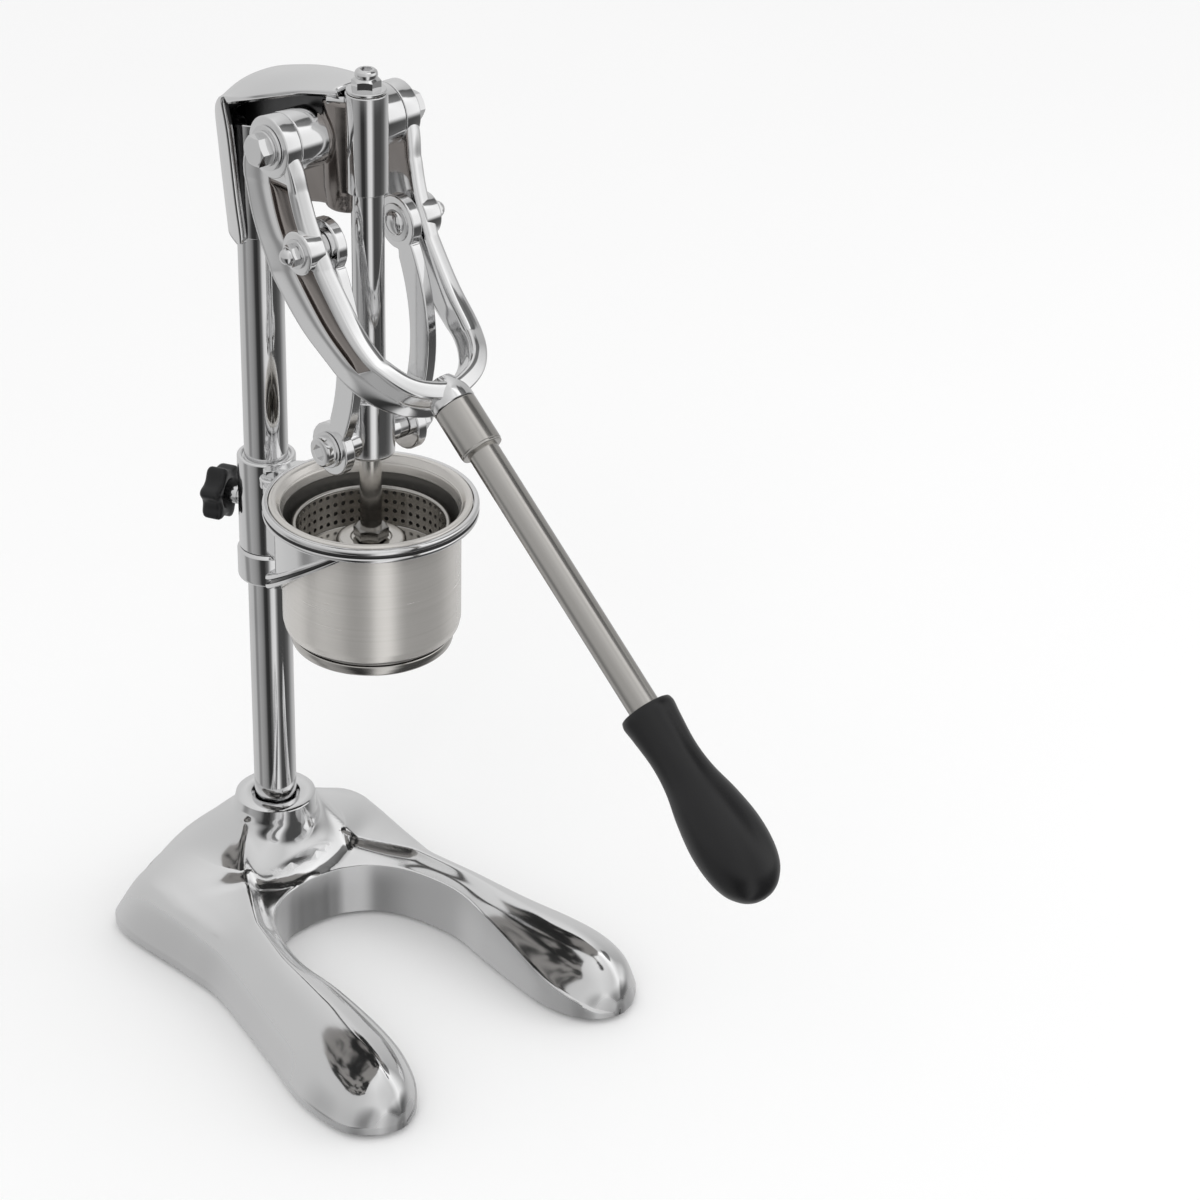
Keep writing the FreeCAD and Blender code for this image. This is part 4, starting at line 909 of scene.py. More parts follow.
guideTop = 555.0
plunger = {"rod": 8.75, "lowerRod": 6.0, "lowerEnd": 265.5, "crosshead": 13.5, "above": 26.0, "below": 10.5,
           "bar": 7.5, "barHalf": 21.2, "cup": 43.1, "rimHeight": 306.0, "floor": 281.0, "floorThick": 2.0,
           "bead": 1.5, "wall": 1.2, "hole": 2.7, "rows": 4, "columns": 54, "hub": 19.4, "hubTop": 297.0,
           "piston": 47.6, "pistonThick": 4.0, "jamNut": 17.0}
pin = {"radius": 5.0, "half": 28.3, "washer": 10.0, "washerThick": 1.6, "nut": 15.0}


def makeRods():
    p = plunger
    top = guideTop + 0.3
    upper = Shape().rod(p["rod"], at(0, pressForward, pinHeight + 6.5), at(0, pressForward, top), 0.6,
                        steps=96)
    upper.rod(5.0, at(0, pressForward, top - 1), at(0, pressForward, top + 8.8), 0.5)
    upper.piece("upperRod", "bright_steel", "upper_rod")
    lower = Shape().rod(p["lowerRod"], at(0, pressForward, p["lowerEnd"]),
                        at(0, pressForward, pinHeight - 6), 0.8)
    lower.piece("lowerRod", "satin_steel", "lower_rod")
    ring = softCorners([(5.05, 0, 0), (10.6, 0, 0.4), (10.6, 1.8, 0.6), (5.05, 1.8, 0)])
    washer = Shape().lathe(ring, at(0, pressForward, top), up, closed=True)
    washer.piece("capWasher", "bright_steel", "cap_washer")
    outer, socket = hexRadius(13.5), hexRadius(6.0)
    # the closed nut on top: a hexagon, then a round crown with a small hexagon socket
    crown = [(0, 0), lambda a: (outer(a), 0), lambda a: (outer(a), 5.2 - (outer(a) - 6.4) * 0.5),
             (6.4, 5.4), (5.6, 6.0), (6.0, 6.9), (6.0, 8.4), (5.6, 9.4), (4.8, 10.1), (4.0, 10.4),
             lambda a: (socket(a), 10.3), lambda a: (socket(a), 7.6), (0, 7.6)]
    nut = Shape().lathe(crown, at(0, pressForward, top + 1.8), up)
    nut.piece("capNut", "bright_steel", "cap_nut")


def makeCrosshead():
    p = plunger
    low, high = pinHeight - p["below"], pinHeight + p["above"]
    body = Shape()
    outline = [(6.0, low, 0), (p["crosshead"], low, 2.0), (p["crosshead"], high, 2.4), (8.76, high, 0)]
    body.lathe(softCorners(outline, 6), at(0, pressForward, 0), up, 96)
    body.rod(p["bar"], at(-p["barHalf"], pressForward, pinHeight),
             at(p["barHalf"], pressForward, pinHeight), 0.6, pin["radius"])
    body.piece("crosshead", "polished_casting", "crosshead")
    screw = Shape().lathe(grubProfile(3.0, 4.4), at(0, pressForward + 8.8, high - 9), way(0, 1, 0), 36)
    screw.piece("crossheadScrew", "bright_steel", "crosshead_screw")
    end = pin["half"] + pin["washerThick"]
    cross = Shape()
    cross.rod(pin["radius"], at(-end, pressForward, pinHeight),
              at(pin["half"] + 7, pressForward, pinHeight), 0.6)
    socket = hexRadius(8.0)
    button = [(0, 0), (8.4, 0), (8.4, 3.0), (8.1, 4.2), (7.2, 4.85), (6.2, 5.0),
              lambda a: (socket(a) + 0.3, 5.0), lambda a: (socket(a), 4.7), lambda a: (socket(a), 2.4),
              (0, 2.4)]
    cross.lathe(button, at(-end, pressForward, pinHeight), way(-1, 0, 0))
    cross.piece("crossPin", "bright_steel", "cross_pin")
    washers = Shape()
    for side in (-1, 1):
        washers.rod(pin["washer"], at(side * pin["half"], pressForward, pinHeight),
                    at(side * end, pressForward, pinHeight), 0.4, 5.05)
    washers.piece("pinWashers", "bright_steel", "pin_washers")
    nut = Shape().lathe(capNutProfile(pin["nut"]), at(end, pressForward, pinHeight), way(1, 0, 0))
    nut.piece("pinNut", "bright_steel", "pin_nut")


def makeCup():
    p = plunger
    centre = (0, pressForward)
    bore = p["lowerRod"] + 0.05
    floorLow = p["floor"] - p["floorThick"]
    low, high = p["floor"] + 1.2, p["rimHeight"] - p["bead"]
    cup = Shape()
    outline = [(bore, floorLow, 0), (p["cup"], floorLow, 2.0), (p["cup"], low, 0),
               (p["cup"] - p["wall"], low, 0), (p["cup"] - p["wall"], p["floor"], 0.8),
               (bore, p["floor"], 0)]
    cup.lathe(softCorners(outline), at(*centre, 0), up, p["columns"] * 2, True)
    bead = [(p["cup"] - 0.9 + p["bead"] * math.cos(2 * math.pi * k / 14),
             high + p["bead"] * math.sin(2 * math.pi * k / 14)) for k in range(14)]
    cup.lathe(bead, at(*centre, 0), up, p["columns"] * 2, True)
    # the wall: one cell with a round hole, repeated round and up
    tall = (high - low) / p["rows"]
    turn = 2 * math.pi / p["columns"]
    radii = (p["cup"], p["cup"] - p["wall"])

    def wallPoint(radius, column, row, across, rise):
        angle = (column + 0.5) * turn + across / p["cup"]
        z = low + (row + 0.5) * tall + rise
        return at(radius * math.sin(angle), pressForward + radius * math.cos(angle), z)

    wide = p["cup"] * turn / 2
    cell = [(1, 0), (1, 1), (0, 1), (-1, 1), (-1, 0), (-1, -1), (0, -1), (1, -1)]
    disc = [(p["hole"] / 2 * math.cos(k * math.pi / 4), p["hole"] / 2 * math.sin(k * math.pi / 4))
            for k in range(8)]
    for row in range(p["rows"]):
        for column in range(p["columns"]):
            loops = []
            for radius in radii:
                edge = cup.add([wallPoint(radius, column, row, u * wide, v * tall / 2) for u, v in cell])
                hole = cup.add([wallPoint(radius, column, row, u, v) for u, v in disc])
                cup.join(edge, hole)
                loops.append(hole)
            cup.join(*loops)
    cup.piece("perforatedCup", "satin_steel", "perforated_cup", sharp=40, look=warmSteel)
    hub = softCorners([(bore, p["floor"], 0), (p["hub"], p["floor"], 0), (p["hub"], p["hubTop"], 3.0),
                       (11.5, p["hubTop"], 0.8), (10.8, p["hubTop"] - 1.0, 0.6),
                       (bore, p["hubTop"] - 1.0, 0)])
    Shape().lathe(hub, at(*centre, 0), up, 96, True).piece("plungerHub", "satin_steel", "plunger_hub")
    pistonLow = floorLow - p["pistonThick"]
    piston = softCorners([(bore, pistonLow, 0), (p["piston"], pistonLow, 0.8), (p["piston"], floorLow, 0.8),
                          (bore, floorLow, 0)])
    Shape().lathe(piston, at(*centre, 0), up, 128, True).piece("pistonDisc", "satin_steel", "piston_disc")
    washer = Shape().rod(12.0, at(*centre, pistonLow - 1.5), at(*centre, pistonLow), 0.4, bore)
    washer.piece("pistonWasher", "bright_steel", "piston_washer")
    topNut = Shape().lathe(hexProfile(p["jamNut"], 6.5), at(*centre, p["hubTop"]), up)
    topNut.piece("plungerTopNut", "bright_steel", "plunger_top_nut", look=nutSteel)
    lowNut = Shape().lathe(hexProfile(p["jamNut"], 6.5), at(*centre, pistonLow - 1.5), -up)
    lowNut.piece("plungerLowNut", "bright_steel", "plunger_low_nut")


makeRods()
makeCrosshead()
makeCup()
print("plunger made")

# links

crank = (pivotForward + 22.0, pivotHeight - 51.7)
link = {"inner": 21.5, "thickness": 6.5, "eye": 15.0, "bow": 17.0, "width": 7.8, "round": 2.2, "dome": 7.2}


def makeLinks():
    low, high = Vector((pressForward, pinHeight)), Vector(crank)
    run = (high - low).normalized()
    across = Vector((run.y, -run.x))
    span = (high - low).length

    # one edge of the strap, from the lower eye to the upper one
    def edge(offset):
        line = []
        for k in range(1, 24):
            t = k / 24
            point = low + run * span * t + across * (link["bow"] * 4 * t * (1 - t) + offset)
            if min((point - low).length, (point - high).length) > link["eye"] + 1:
                line.append(point)
        return line

    def eye(centre, fromPoint, toPoint):
        start = math.atan2(*(fromPoint - centre).yx)
        end = math.atan2(*(toPoint - centre).yx)
        angles = [start + (end - start) % (2 * math.pi) * k / 22 for k in range(23)]
        return [centre + Vector((math.cos(angle), math.sin(angle))) * link["eye"] for angle in angles]

    front, back = edge(link["width"]), edge(-link["width"])
    outline = front + eye(high, front[-1], back[-1]) + back[::-1] + eye(low, back[0], front[0])
    outline = [tuple(point) for point in outline]
    outer = link["inner"] + link["thickness"]
    for name, node, side in (("leftLink", "left_link", -1), ("rightLink", "right_link", 1)):
        shape = Shape().plate(outline, side * link["inner"], side * outer)
        shape.piece(name, "polished_casting", node, bevel=link["round"])
    studs = Shape()
    dome = [(0, 0), (link["dome"], 0), (link["dome"], 0.8)] + domeProfile(link["dome"], 0.8, 3.4)
    for side in (-1, 1):
        inner = at(side * link["inner"], *crank)
        studs.rod(4.0, inner, at(side * outer, *crank), 0.3)
        studs.rod(10.5, inner, at(side * (link["inner"] - 0.7), *crank), 0.3)
        studs.lathe(dome, inner, way(-side, 0, 0))
    studs.piece("linkStuds", "bright_steel", "link_studs")


makeLinks()
print("links made")

# fork lever, its studs, ferrule, tube and grip

yoke = (pivotForward + 96.6, pivotHeight - 123.3)
fork = {"half": 44.0, "arm": 9.5, "eye": 16.5, "crank": 12.0, "spacer": 9.0, "pocket": 3.2, "studEnd": 50.0,
        "washer": 8.0, "washerHeight": 1.2, "nut": 10.5}
handle = {"slope": 36.6, "length": 304.0, "ferrule": 11.8, "ferruleLength": 28.0, "ferruleStart": 1.2,
          "tube": 8.5, "tubeBore": 7.0, "tubeInGrip": 60.0, "grip": 114.0, "gripRadius": 20.0}
# along the grip: share of its length, share of its radius
gripLine = [(0.012, 0.725), (0.035, 0.742), (0.10, 0.70), (0.24, 0.642), (0.37, 0.70), (0.515, 0.88),
            (0.66, 0.995), (0.79, 0.975), (0.89, 0.835), (0.955, 0.58), (0.988, 0.3), (0.999, 0.0)]
handleSteel = satinMaterial("handleSteel", 0.78, math.radians(90 - handle["slope"]), 0.2)
# sections along an arm and round the yoke: back edge, front edge, pocket depth; an edge is two shares of the
# reach, along and square to the arm, and a share of the half width
forkStations = [
    ((-0.065, -0.083, 1.0), (0.065, 0.083, 1.0), 0.0),
    ((0.022, -0.159, 1.0), (0.169, 0.029, 0.955), 0.0),
    ((0.050, -0.170, 1.0), (0.190, 0.021, 0.95), 1.0),
    ((0.144, -0.210, 1.0), (0.269, -0.010, 0.93), 1.0),
    ((0.225, -0.230, 1.0), (0.335, -0.025, 0.917), 1.0),
    ((0.255, -0.235, 1.0), (0.358, -0.029, 0.912), 0.0),
    ((0.345, -0.247, 0.995), (0.430, -0.041, 0.90), 0.0),
    ((0.375, -0.250, 0.993), (0.455, -0.043, 0.895), 1.0),
    ((0.549, -0.227, 0.98), (0.610, -0.040, 0.875), 1.0),
    ((0.664, -0.188, 0.965), (0.713, -0.023, 0.864), 1.0),
    ((0.740, -0.163, 0.945), (0.777, -0.008, 0.838), 0.8),
    ((0.775, -0.150, 0.93), (0.803, 0.0, 0.815), 0.0),
    ((0.830, -0.132, 0.875), (0.849, 0.017, 0.75), 0.0),
    ((0.896, -0.110, 0.74), (0.899, 0.029, 0.636), 0.0),
    ((0.946, -0.093, 0.545), (0.938, 0.038, 0.477), 0.0),
    ((0.981, -0.081, 0.30), (0.965, 0.043, 0.27), 0.0),
    ((0.998, -0.077, 0.0), (0.982, 0.045, 0.0), 0.0),
]


def makeFork():
    reach = math.hypot(yoke[0] - pivotForward, yoke[1] - pivotHeight)
    along = ((yoke[0] - pivotForward) / reach, (yoke[1] - pivotHeight) / reach)
    square = (-along[1], along[0])
    stations = forkStations + [((s0, q0, -w0), (s1, q1, -w1), pocket)
                               for (s0, q0, w0), (s1, q1, w1), pocket in reversed(forkStations[:-1])]

    def corner(s, q, w):
        return at(w * fork["half"], pivotForward + reach * (along[0] * s + square[0] * q),
                  pivotHeight + reach * (along[1] * s + square[1] * q))

    # the way through the arm's thickness at one of the two edges of a section
    def inward(edge, i):
        before = corner(*stations[max(i - 1, 0)][edge])
        after = corner(*stations[min(i + 1, len(stations) - 1)][edge])
        plane = way(1, 0, 0).cross(way(0, *along))
        return (after - before).cross(plane).normalized()

    shape = Shape()
    rings = []
    for i, (back, front, pocket) in enumerate(stations):
        a, b = corner(*back), corner(*front)
        across = (inward(0, i) + inward(1, i)).normalized()
        if i == 0:
            across = way(-1, 0, 0)
        if i == len(stations) - 1:
            across = way(1, 0, 0)
        if across.dot(corner(0.3, -0.1, 0) - a) < 0:
            across = -across
        deep = fork["pocket"] * pocket
        thick = fork["arm"]
        outline = [(0, 0), (0.22, 0), (0.42, 0), (0.49, deep), (0.78, deep), (0.85, 0), (0.97, 0.2),
                   (1.0, thick * 0.35), (0.97, thick), (0.5, thick), (0.03, thick)]
        rings.append(shape.add([a + (b - a) * t + across * d / 1000 for t, d in outline]))
    for i, (a, b) in enumerate(zip(rings, rings[1:])):
        # painted shade and painted dark reflection: the pocket's faces take the dark recessCastingPaintedShade
        # colour
        if stations[i][2] + stations[i + 1][2] > 0.5:
            shape.paintedShadeFaces |= {len(shape.faces) + j for j in (2, 3, 4)}  # the pocket's floor and sides
        shape.join(a, b)
    shape.faces += [tuple(reversed(rings[0])), tuple(rings[-1])]
    for j, weight in ((0, 0.6), (2, 0.75), (5, 0.6)):
        shape.crease([ring[j] for ring in rings], weight)
    shape.fitCage()
    shape.piece("forkLever", "polished_casting", "fork_lever", smooth=3, inside=recessCastingPaintedShade)
    bosses = Shape()
    eye, stub, arm = fork["eye"], fork["crank"], fork["arm"]
    disc = softCorners([(0, 0, 0), (eye, 0, 0.5), (eye, arm, 1.0), (0, arm, 0)])
    boss = softCorners([(0, -1, 0), (stub, -1, 0.5), (stub, arm, 1.4), (0, arm, 0)])
    for side in (-1, 1):
        inner = side * (fork["half"] - arm)
        bosses.lathe(disc, at(inner, pivotForward, pivotHeight), way(side, 0, 0), 96)
        bosses.lathe(boss, at(inner, *crank), way(side, 0, 0), 96)
        bosses.rod(fork["spacer"], at(side * 28.3, *crank), at(inner, *crank), 0.6)
    angle = math.radians(handle["slope"])
    axis = way(0, math.cos(angle), -math.sin(angle))
    neck = smoothLine([(7.0, -15), (9.5, -11), (11.2, -7), (11.9, -3), (12.0, 0)], 3)
    bosses.lathe(neck + [(12.0, 0.6), (11.6, 1.0), (0, 1.0)], at(0, *yoke), axis, 96)
    bosses.piece("forkBosses", "polished_casting", body="lever")


def makeForkHardware():
    studs, washers, nuts = Shape(), Shape(), Shape()
    outer = fork["half"] + fork["washerHeight"]
    for side in (-1, 1):
        studs.rod(4.0, at(side * 28.4, *crank), at(side * fork["studEnd"], *crank), 0.3)
        washers.rod(fork["washer"], at(side * fork["half"], *crank), at(side * outer, *crank), 0.4, 4.05)
        nuts.lathe(capNutProfile(fork["nut"]), at(side * outer, *crank), way(side, 0, 0))
    studs.piece("crankStuds", "bright_steel", "crank_studs")
    washers.piece("crankWashers", "bright_steel", "crank_washers")
    nuts.piece("crankNuts", "bright_steel", "crank_nuts")


def makeHandle():
    angle = math.radians(handle["slope"])
    axis = way(0, math.cos(angle), -math.sin(angle))
    start = at(0, *yoke)
    low, high, r = handle["ferruleStart"], handle["ferruleStart"] + handle["ferruleLength"], handle["ferrule"]
    outline = [(8.53, low, 0), (r, low, 0.7), (r, high - 1.6, 0.3), (r - 0.35, high - 1.3, 0.2),
               (r - 0.2, high, 0.7), (8.53, high, 0)]
    ferrule = Shape().lathe(softCorners(outline), start, axis, 96, True)
    ferrule.piece("handleFerrule", "satin_steel", "handle_ferrule", look=handleSteel)
    gripStart = handle["length"] - handle["grip"]
    tubeEnd = gripStart + handle["tubeInGrip"]
    tube = Shape().rod(handle["tube"], start + axis * low / 1000, start + axis * tubeEnd / 1000, 0.5,
                       handle["tubeBore"], 96)
    tube.piece("handleTube", "satin_steel", "handle_tube", look=handleSteel)
    line = smoothLine([(r * handle["gripRadius"], gripStart + t * handle["grip"]) for t, r in gripLine], 8)
    lip = [(8.6, gripStart), (13.4, gripStart), (14.1, gripStart + 0.35)]
    line = lip + line[:-1] + [(0, handle["length"] - 0.1)]
    Shape().lathe(line, start, axis, 96).piece("handleGrip", "black_plastic", "handle_grip", sharp=45)


makeFork()
makeForkHardware()
makeHandle()
print("lever made")

# head casting with its guide sleeve and pivot bolts

head = {"bottom": 445.5, "top": 557.0, "wall": 4.0, "webHalf": 13.0, "blockHalf": 12.7, "boss": 16.5,
        "guide": 11.2, "guideBore": 9.9, "guideBottom": 501.0, "bushLength": 12.0, "screws": (463.5, 489.5)}
# places from the middle out: shank, washer, collar, the shank's end, hexagon, the collar's end
bolt = {"radius": 6.0, "washer": 12.0, "collar": 9.6, "flats": 15.0, "hex": 6.4,
        "places": (10.2, 44.3, 45.9, 46, 47.4, 47.5)}
# along the roof: forward, crown below the top, fall at the sides
roofLine = [(-24.0, 72, 34), (-22.0, 57, 32), (-20.5, 47, 30), (-17.0, 39, 28), (-10.0, 29, 20),
            (0.0, 20, 14.5), (12.0, 13.5, 13), (26.0, 9, 11), (42.0, 4.5, 10.5), (60.0, 1.5, 12),
            (87.0, 0, 11)]
# up the walls: share of the height, width share, depth share
wallLine = [(0.0, 0.70, 0.835), (0.24, 0.80, 0.91), (0.49, 0.90, 0.978), (0.76, 1.0, 1.0), (1.1, 1.0, 1.0)]


# the values that go with a place on a line of points
def between(line, value):
    value = min(max(value, line[0][0]), line[-1][0])
    for low, high in zip(line, line[1:]):
        if value <= high[0]:
            share = (value - low[0]) / (high[0] - low[0])
            return [a + (b - a) * share for a, b in zip(low[1:], high[1:])]


def roofHeight(x, forward):
    drop, fall = between(roofLine, forward)
    return head["top"] - drop - fall * abs(x / 30) ** 2.2


def makeHood():
    # from the middle of the back round one side to the nose: places on the eave, and on the roof's middle
    eave = [(0, -22.5), (6, -22.0), (11.5, -20.0), (16.5, -16.0), (21.5, -9.0), (25.3, -1), (27.6, 8),
            (28.7, 22), (28.0, 36), (24.5, 50), (19, 65), (12.8, 84)]
    spine = [-14, -12.5, -9, -4, 2, 8, 14, 24, 37, 51, 66, 84]
    lastWall = 6
    shape = Shape()

    # a line of points from the middle of the roof out to the eave, and on down the wall where there is one
    def drop(k, side):
        x, forward = eave[k]
        places = [(x * (1 - share), forward + (spine[k] - forward) * share)
                  for share in (1.0, 0.66, 0.36, 0.12)]
        points = [(across, on, roofHeight(across, on)) for across, on in places]
        z = roofHeight(x, forward)
        if k > lastWall:
            points.append((x, forward, z))
        else:
            for share in (0, 0.2, 0.5, 0.78, 1.0):
                level = z + (head["bottom"] - z) * share
                wide, deep = between(wallLine, (level - head["bottom"]) / (head["top"] - head["bottom"]))
                points.append((x * wide, forward * (deep if forward < 0 else 1), level))
        return [at(side * across, on, height) for across, on, height in points]

    right = [shape.add(drop(k, 1)) for k in range(len(eave))]
    left = [right[0]] + [[right[k][0]] + shape.add(drop(k, -1)[1:]) for k in range(1, len(eave))]
    for lines in (right, left):
        for a, b in zip(lines, lines[1:]):
            for j in range(min(len(a), len(b)) - 1):
                shape.faces.append((a[j], a[j + 1], b[j + 1], b[j]))
        shape.crease([line[4] for line in lines[5:8]], 0.35)
    shape.fitCage()
    # painted shade: the inside of the hood's wall takes the dark rawCastingPaintedShade colour
    shape.piece("headHood", "polished_casting", "head_casting", smooth=3, wall=head["wall"],
                inside=rawCastingPaintedShade)


def makeHeadCore():
    core = Shape()
    socket = [(12.6, 447.5, 0), (17.2, 447.5, 1.0), (17.8, 514, 1.0), (12.6, 514, 0)]
    core.lathe(softCorners(socket), at(0, 0, 0), up, 96, True)
    boss = [(0, 10, 0), (14.2, 10, 0), (14.2, 15.5, 0.8), (head["boss"], 16.5, 1.0),
            (head["boss"], 34.2, 0.8), (0, 34.2, 0)]
    for side in (-1, 1):
        core.lathe(softCorners(boss), at(0, pivotForward, pivotHeight), way(side, 0, 0), 96)
    core.piece("headCore", "polished_casting", body="stand")
    outline = [(0, 487.5, 0), (12.6, 487.5, 3.0), (14.0, 500, 3), (14.0, 549, 2.0), (0, 549, 0)]
    guard = Shape().lathe(softCorners(outline), at(0, 80, 0), up, 96)
    # painted shade and painted dark reflection: the guard under the hood takes the dark recessCastingPaintedShade
    # colour
    guard.piece("headGuard", "polished_casting", body="stand", look=recessCastingPaintedShade)
    outline = [(6, 511), (80, 511), (80, 550), (60, 551), (40, 547), (26, 541), (6, 532)]
    block = Shape().plate(outline, -head["blockHalf"], head["blockHalf"])
    # painted shade: the block under the roof takes the dark rawCastingPaintedShade colour
    block.piece("headBlock", "polished_casting", body="stand", bevel=2.0, look=rawCastingPaintedShade)
    outline = [(6, 470, 0), (30, 476, 6), (52, 484, 10), (70, 489, 6), (80, 491, 4), (80, 513, 0),
               (6, 513, 0), (6, 470, 0)]
    web = Shape().plate(softCorners(outline)[:-1], -head["webHalf"], head["webHalf"])
    # painted shade and painted dark reflection: the web under the hood takes the dark recessCastingPaintedShade
    # colour
    web.piece("headWeb", "polished_casting", body="stand", bevel=2.0, look=recessCastingPaintedShade)
    low, high = at(0, pressForward, head["guideBottom"]), at(0, pressForward, guideTop)
    sleeve = Shape().rod(head["guide"], low, high, 0.7, head["guideBore"], 96)
    sleeve.piece("guideSleeve", "bright_steel", "guide_sleeve")
    bushes = Shape()
    for z in (head["guideBottom"], guideTop - head["bushLength"]):
        bushes.rod(head["guideBore"] - 0.02, at(0, pressForward, z + 0.2),
                   at(0, pressForward, z + head["bushLength"] - 0.2), 0.3, 8.84, 96)
    bushes.piece("guideBushes", "bronze", "guide_bushes")
    screws = Shape()
    for z in head["screws"]:
        screws.lathe(grubProfile(3.0, 7.0), at(0, -post["radius"] - 0.1, z), way(0, -1, 0), 36)
    screws.piece("headScrews", "bright_steel", "head_screws")
    slant = way(-0.62, -0.78, 0)
    screw = Shape().lathe(grubProfile(2.5, 9.5), at(0, pressForward, 549) + slant * 0.0113, slant, 36)
    screw.piece("sleeveScrew", "bright_steel", "sleeve_screw")


def makePivotBolts():
    bolts, washers = Shape(), Shape()
    for side in (-1, 1):
        places = [at(side * x, pivotForward, pivotHeight) for x in bolt["places"]]
        shank, washer, collar, shankEnd, hexStart, collarEnd = places
        washers.rod(bolt["washer"], washer, collar, 0.4, 6.05)
        bolts.rod(bolt["radius"], shank, shankEnd, 0.5)
        bolts.rod(bolt["collar"], collar, collarEnd, 0.5)
        bolts.lathe(hexProfile(bolt["flats"], bolt["hex"]), hexStart, way(side, 0, 0))
    bolts.piece("pivotBolts", "bright_steel", "pivot_bolts")
    washers.piece("pivotWashers", "bright_steel", "pivot_washers")


makeHood()
makeHeadCore()
makePivotBolts()
print("head made")

# camera

view = {"azimuth": 42.63, "elevation": 29.79, "roll": 1.61, "focal": 3351.33, "frameSide": 1200,
        "offset": (-157.17, -5.21), "distance": 1901.11, "target": (0, 50, 230)}


def makeCamera():
    a, e, r = (math.radians(view[key]) for key in ("azimuth", "elevation", "roll"))
    back = Vector((-math.sin(a) * math.cos(e), -math.cos(a) * math.cos(e), math.sin(e)))
    level = Vector((math.cos(a), -math.sin(a), 0))
    rise = back.cross(level)
    right = level * math.cos(r) + rise * math.sin(r)
    rise = rise * math.cos(r) - level * math.sin(r)
    across, upward = view["offset"]
    place = at(*view["target"]) + (back * view["distance"] - right * across - rise * upward) / 1000
    lens = bpy.data.cameras.new("camera")
    lens.sensor_width = 36
    lens.sensor_fit = "HORIZONTAL"
    lens.lens = 36 * view["focal"] / view["frameSide"]
    lens.clip_end = 50
    camera = bpy.data.objects.new("camera", lens)
    camera.matrix_world = Matrix.Translation(place) @ Matrix((right, rise, back)).transposed().to_4x4()
    bpy.context.scene.collection.objects.link(camera)
    bpy.context.scene.camera = camera


makeCamera()

# floor, world and lamps

studio = {"floorHalf": 8, "floorColour": (0.96, 0.96, 0.96, 1), "floorPale": (0.975, 0.975, 0.975, 1),
          "worldLevel": 0.93, "skyLow": 1.0, "skyHigh": 1.25, "ringTop": -8, "ringBlur": 9, "keyPower": 9,
          "fillPower": 4}
# what reflections see low down, then higher up: heading in degrees and level
lowRing = [(-180, 0.32), (-168, 0.22), (-158, 0.04), (-144, 0.03), (-131, 0.15), (-121, 0.75), (-105, 0.85),
           (-95, 0.30), (-86, 0.07), (-52, 0.07), (-30, 0.13), (-5, 0.45), (20, 0.58), (95, 0.60),
           (130, 0.55), (142, 0.26), (150, 0.26), (160, 0.40), (180, 0.32)]
highRing = [(-180, 0.56), (-150, 0.60), (-120, 0.72), (-90, 0.62), (-66, 0.85), (-45, 1.0), (-25, 0.85),
            (-5, 0.42), (20, 0.50), (48, 0.66), (90, 0.60), (130, 0.57), (180, 0.56)]
# a dark cloth overhead, seen only in reflections: direction, reach and darkness
overhead = {"aim": (0.62, -0.20, 0.76), "reach": 0.26, "blur": 0.03, "ragged": 0.3, "dark": 0.8}
# dark cloths over the toes, one-sided and seen only in reflections: height and outline
flags = [(225, [(2, 15), (0, 150), (-46, 225), (-120, 250), (-203, 285), (-440, 400), (-700, 330),
                (-1000, 100), (-1000, -120), (-480, -165), (-300, -150), (-200, -100), (-120, -30),
                (-70, 0)]),
         (226, [(20, 20), (64, 2), (112, 30), (128, 122), (110, 214), (64, 242), (20, 224), (2, 122)])]
clothLook = {"dark": (0.01, 0.01, 0.01, 1), "pale": (0.26, 0.25, 0.24, 1), "patch": 11.0,
             "change": (0.47, 0.58)}


def makeFloor():
    mesh = bpy.data.meshes.new("floor")
    half = studio["floorHalf"]
    corners = [(-half, -half, 0), (half, -half, 0), (half, half, 0), (-half, half, 0)]
    mesh.from_pydata(corners, [], [(0, 1, 2, 3)])
    floor = bpy.data.objects.new("floor", mesh)
    bpy.context.scene.collection.objects.link(floor)
    material, g, place = newMaterial("paleFloor")
    marks = g.noise(place, 3.0)
    g.surface(g.node("ShaderNodeBsdfPrincipled", None, {
        "Base Color": g.mix(marks, studio["floorColour"], studio["floorPale"]), "Roughness": 0.9}))
    mesh.materials.append(material)
    floor.visible_glossy = False


def makeFlags():
    shape = Shape()
    for z, outline in flags:
        ring = shape.add([at(x, forward, z) for x, forward in outline])
        shape.faces.append(tuple(ring))
    mesh = bpy.data.meshes.new("flags")
    mesh.from_pydata(shape.points, [], shape.faces)
    material, g, place = newMaterial("darkCloth")
    patches = g.steps(g.noise(place, clothLook["patch"], 3.0), *clothLook["change"])
    dark = g.node("ShaderNodeBsdfPrincipled", None, {
        "Base Color": g.mix(patches, clothLook["dark"], clothLook["pale"]), "Roughness": 1.0})
    back = g.node("ShaderNodeNewGeometry", out="Backfacing")
    g.surface(g.node("ShaderNodeMixShader", None, {0: back, 1: dark, 2: g.node("ShaderNodeBsdfTransparent")}))
    mesh.materials.append(material)
    cloth = bpy.data.objects.new("flags", mesh)
    bpy.context.scene.collection.objects.link(cloth)
    cloth.visible_camera = cloth.visible_diffuse = cloth.visible_shadow = cloth.visible_transmission = False


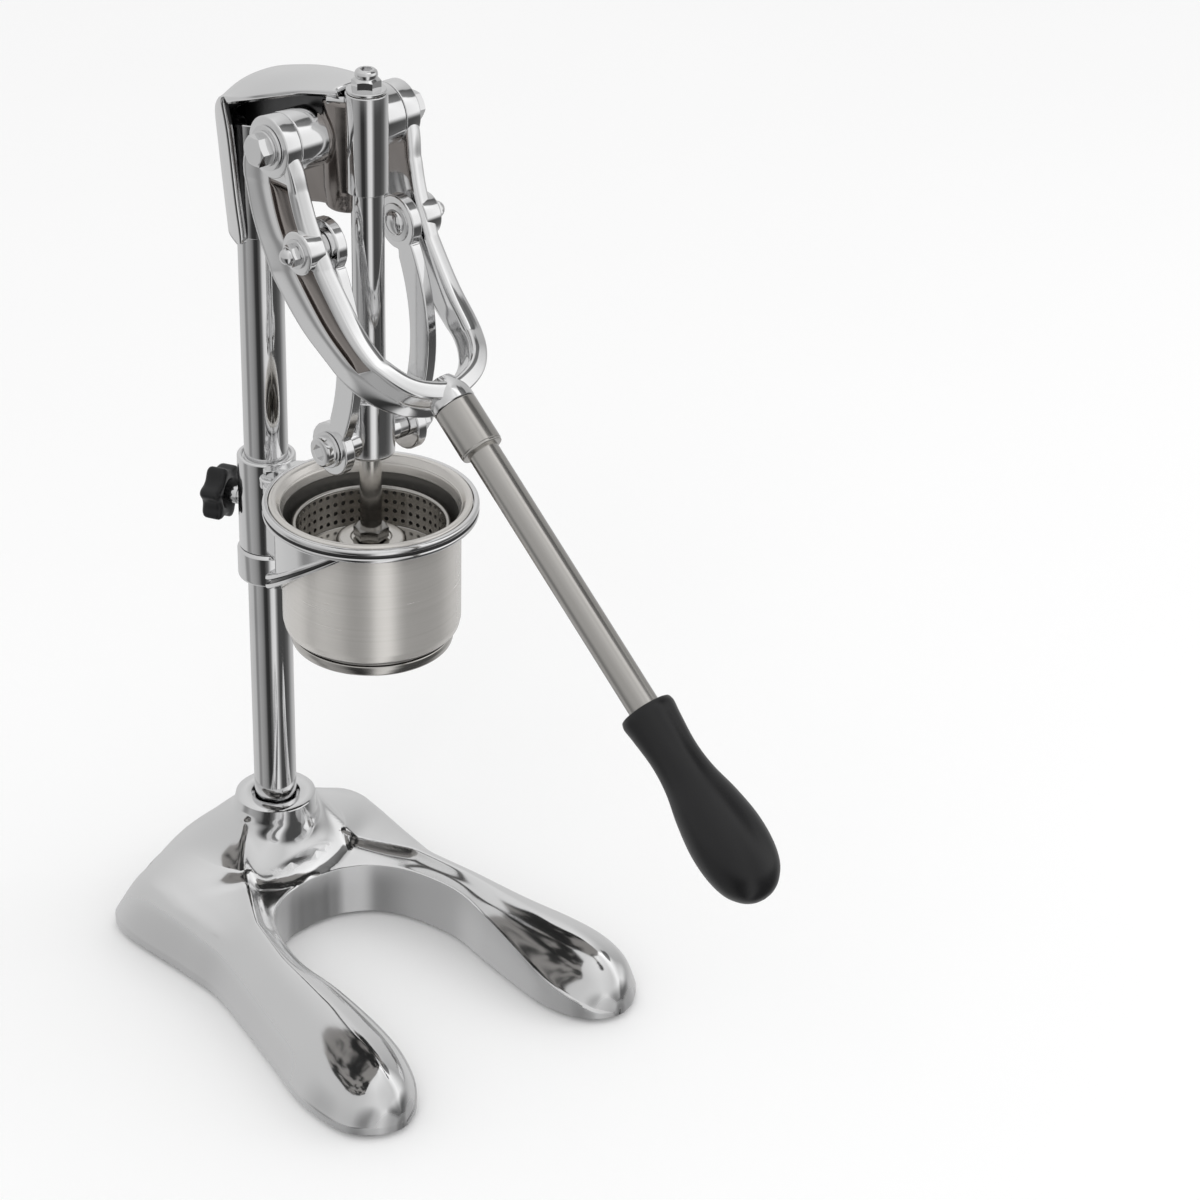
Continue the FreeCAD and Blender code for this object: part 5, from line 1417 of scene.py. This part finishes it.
def makeWorld():
    world = bpy.data.worlds.new("studio")
    world.use_nodes = True
    bpy.context.scene.world = world
    g = Graph(world.node_tree)
    direction = g.node("ShaderNodeTexCoord")
    x, y, z = (g.part(direction, axis) for axis in "XYZ")
    heading = g.node("ShaderNodeMath", {"operation": "ARCTAN2"}, {0: y, 1: x}) * (180 / math.pi)
    elevation = g.node("ShaderNodeMath", {"operation": "ARCSINE"}, {0: z}) * (180 / math.pi)
    turned = (heading + 180) * (1 / 360)
    stops = [[((turn + 180) / 360, level) for turn, level in levels] for levels in (lowRing, highRing)]
    low, high = (g.node("ShaderNodeValToRGB", {"stops": levels}, {0: turned}) for levels in stops)
    high = high * g.steps(elevation, 20, 75, studio["skyLow"], studio["skyHigh"])
    away = g.node("ShaderNodeVectorMath", {"operation": "DISTANCE"}, {0: direction, 1: overhead["aim"]}, 1)
    away = away + g.noise(direction, 3.5, 2.0) * overhead["ragged"] - overhead["ragged"] / 2
    blur = overhead["blur"]
    high = high * (1 - g.steps(away, overhead["reach"] + blur, overhead["reach"] - blur) * overhead["dark"])
    top, soft = studio["ringTop"], studio["ringBlur"]
    light = g.mix(g.steps(elevation, top - soft, top + soft), low, high)
    camera = g.node("ShaderNodeLightPath", out="Is Camera Ray")
    glossy = g.node("ShaderNodeLightPath", out="Is Glossy Ray")
    plain = g.node("ShaderNodeBackground", None, {"Color": (1, 1, 1, 1), "Strength": studio["worldLevel"]})
    seen = g.node("ShaderNodeBackground", None, {"Color": (1, 1, 1, 1), "Strength": 1.0})
    shown = g.node("ShaderNodeBackground", None, {"Color": (1, 1, 1, 1), "Strength": light})
    mixed = g.node("ShaderNodeMixShader", None, {0: camera, 1: plain, 2: seen})
    g.surface(g.node("ShaderNodeMixShader", None, {0: glossy, 1: mixed, 2: shown}), "ShaderNodeOutputWorld")
    bpy.context.scene.view_settings.view_transform = "Standard"


def makeLamp(name, place, aim, size, power):
    lamp = bpy.data.lights.new(name, "AREA")
    lamp.shape = "RECTANGLE"
    lamp.size, lamp.size_y = size
    lamp.energy = power
    thing = bpy.data.objects.new(name, lamp)
    thing.location = place
    thing.rotation_euler = (Vector(aim) - Vector(place)).to_track_quat("-Z", "Y").to_euler()
    thing.visible_glossy = False
    bpy.context.scene.collection.objects.link(thing)


makeFloor()
makeFlags()
makeWorld()
makeLamp("keyLight", (-1.6, -1.2, 1.8), (0, 0, 0.25), (1.2, 1.6), studio["keyPower"])
makeLamp("fillLight", (1.6, -0.8, 1.4), (0, 0, 0.3), (1.0, 1.4), studio["fillPower"])
print("camera and studio ready")
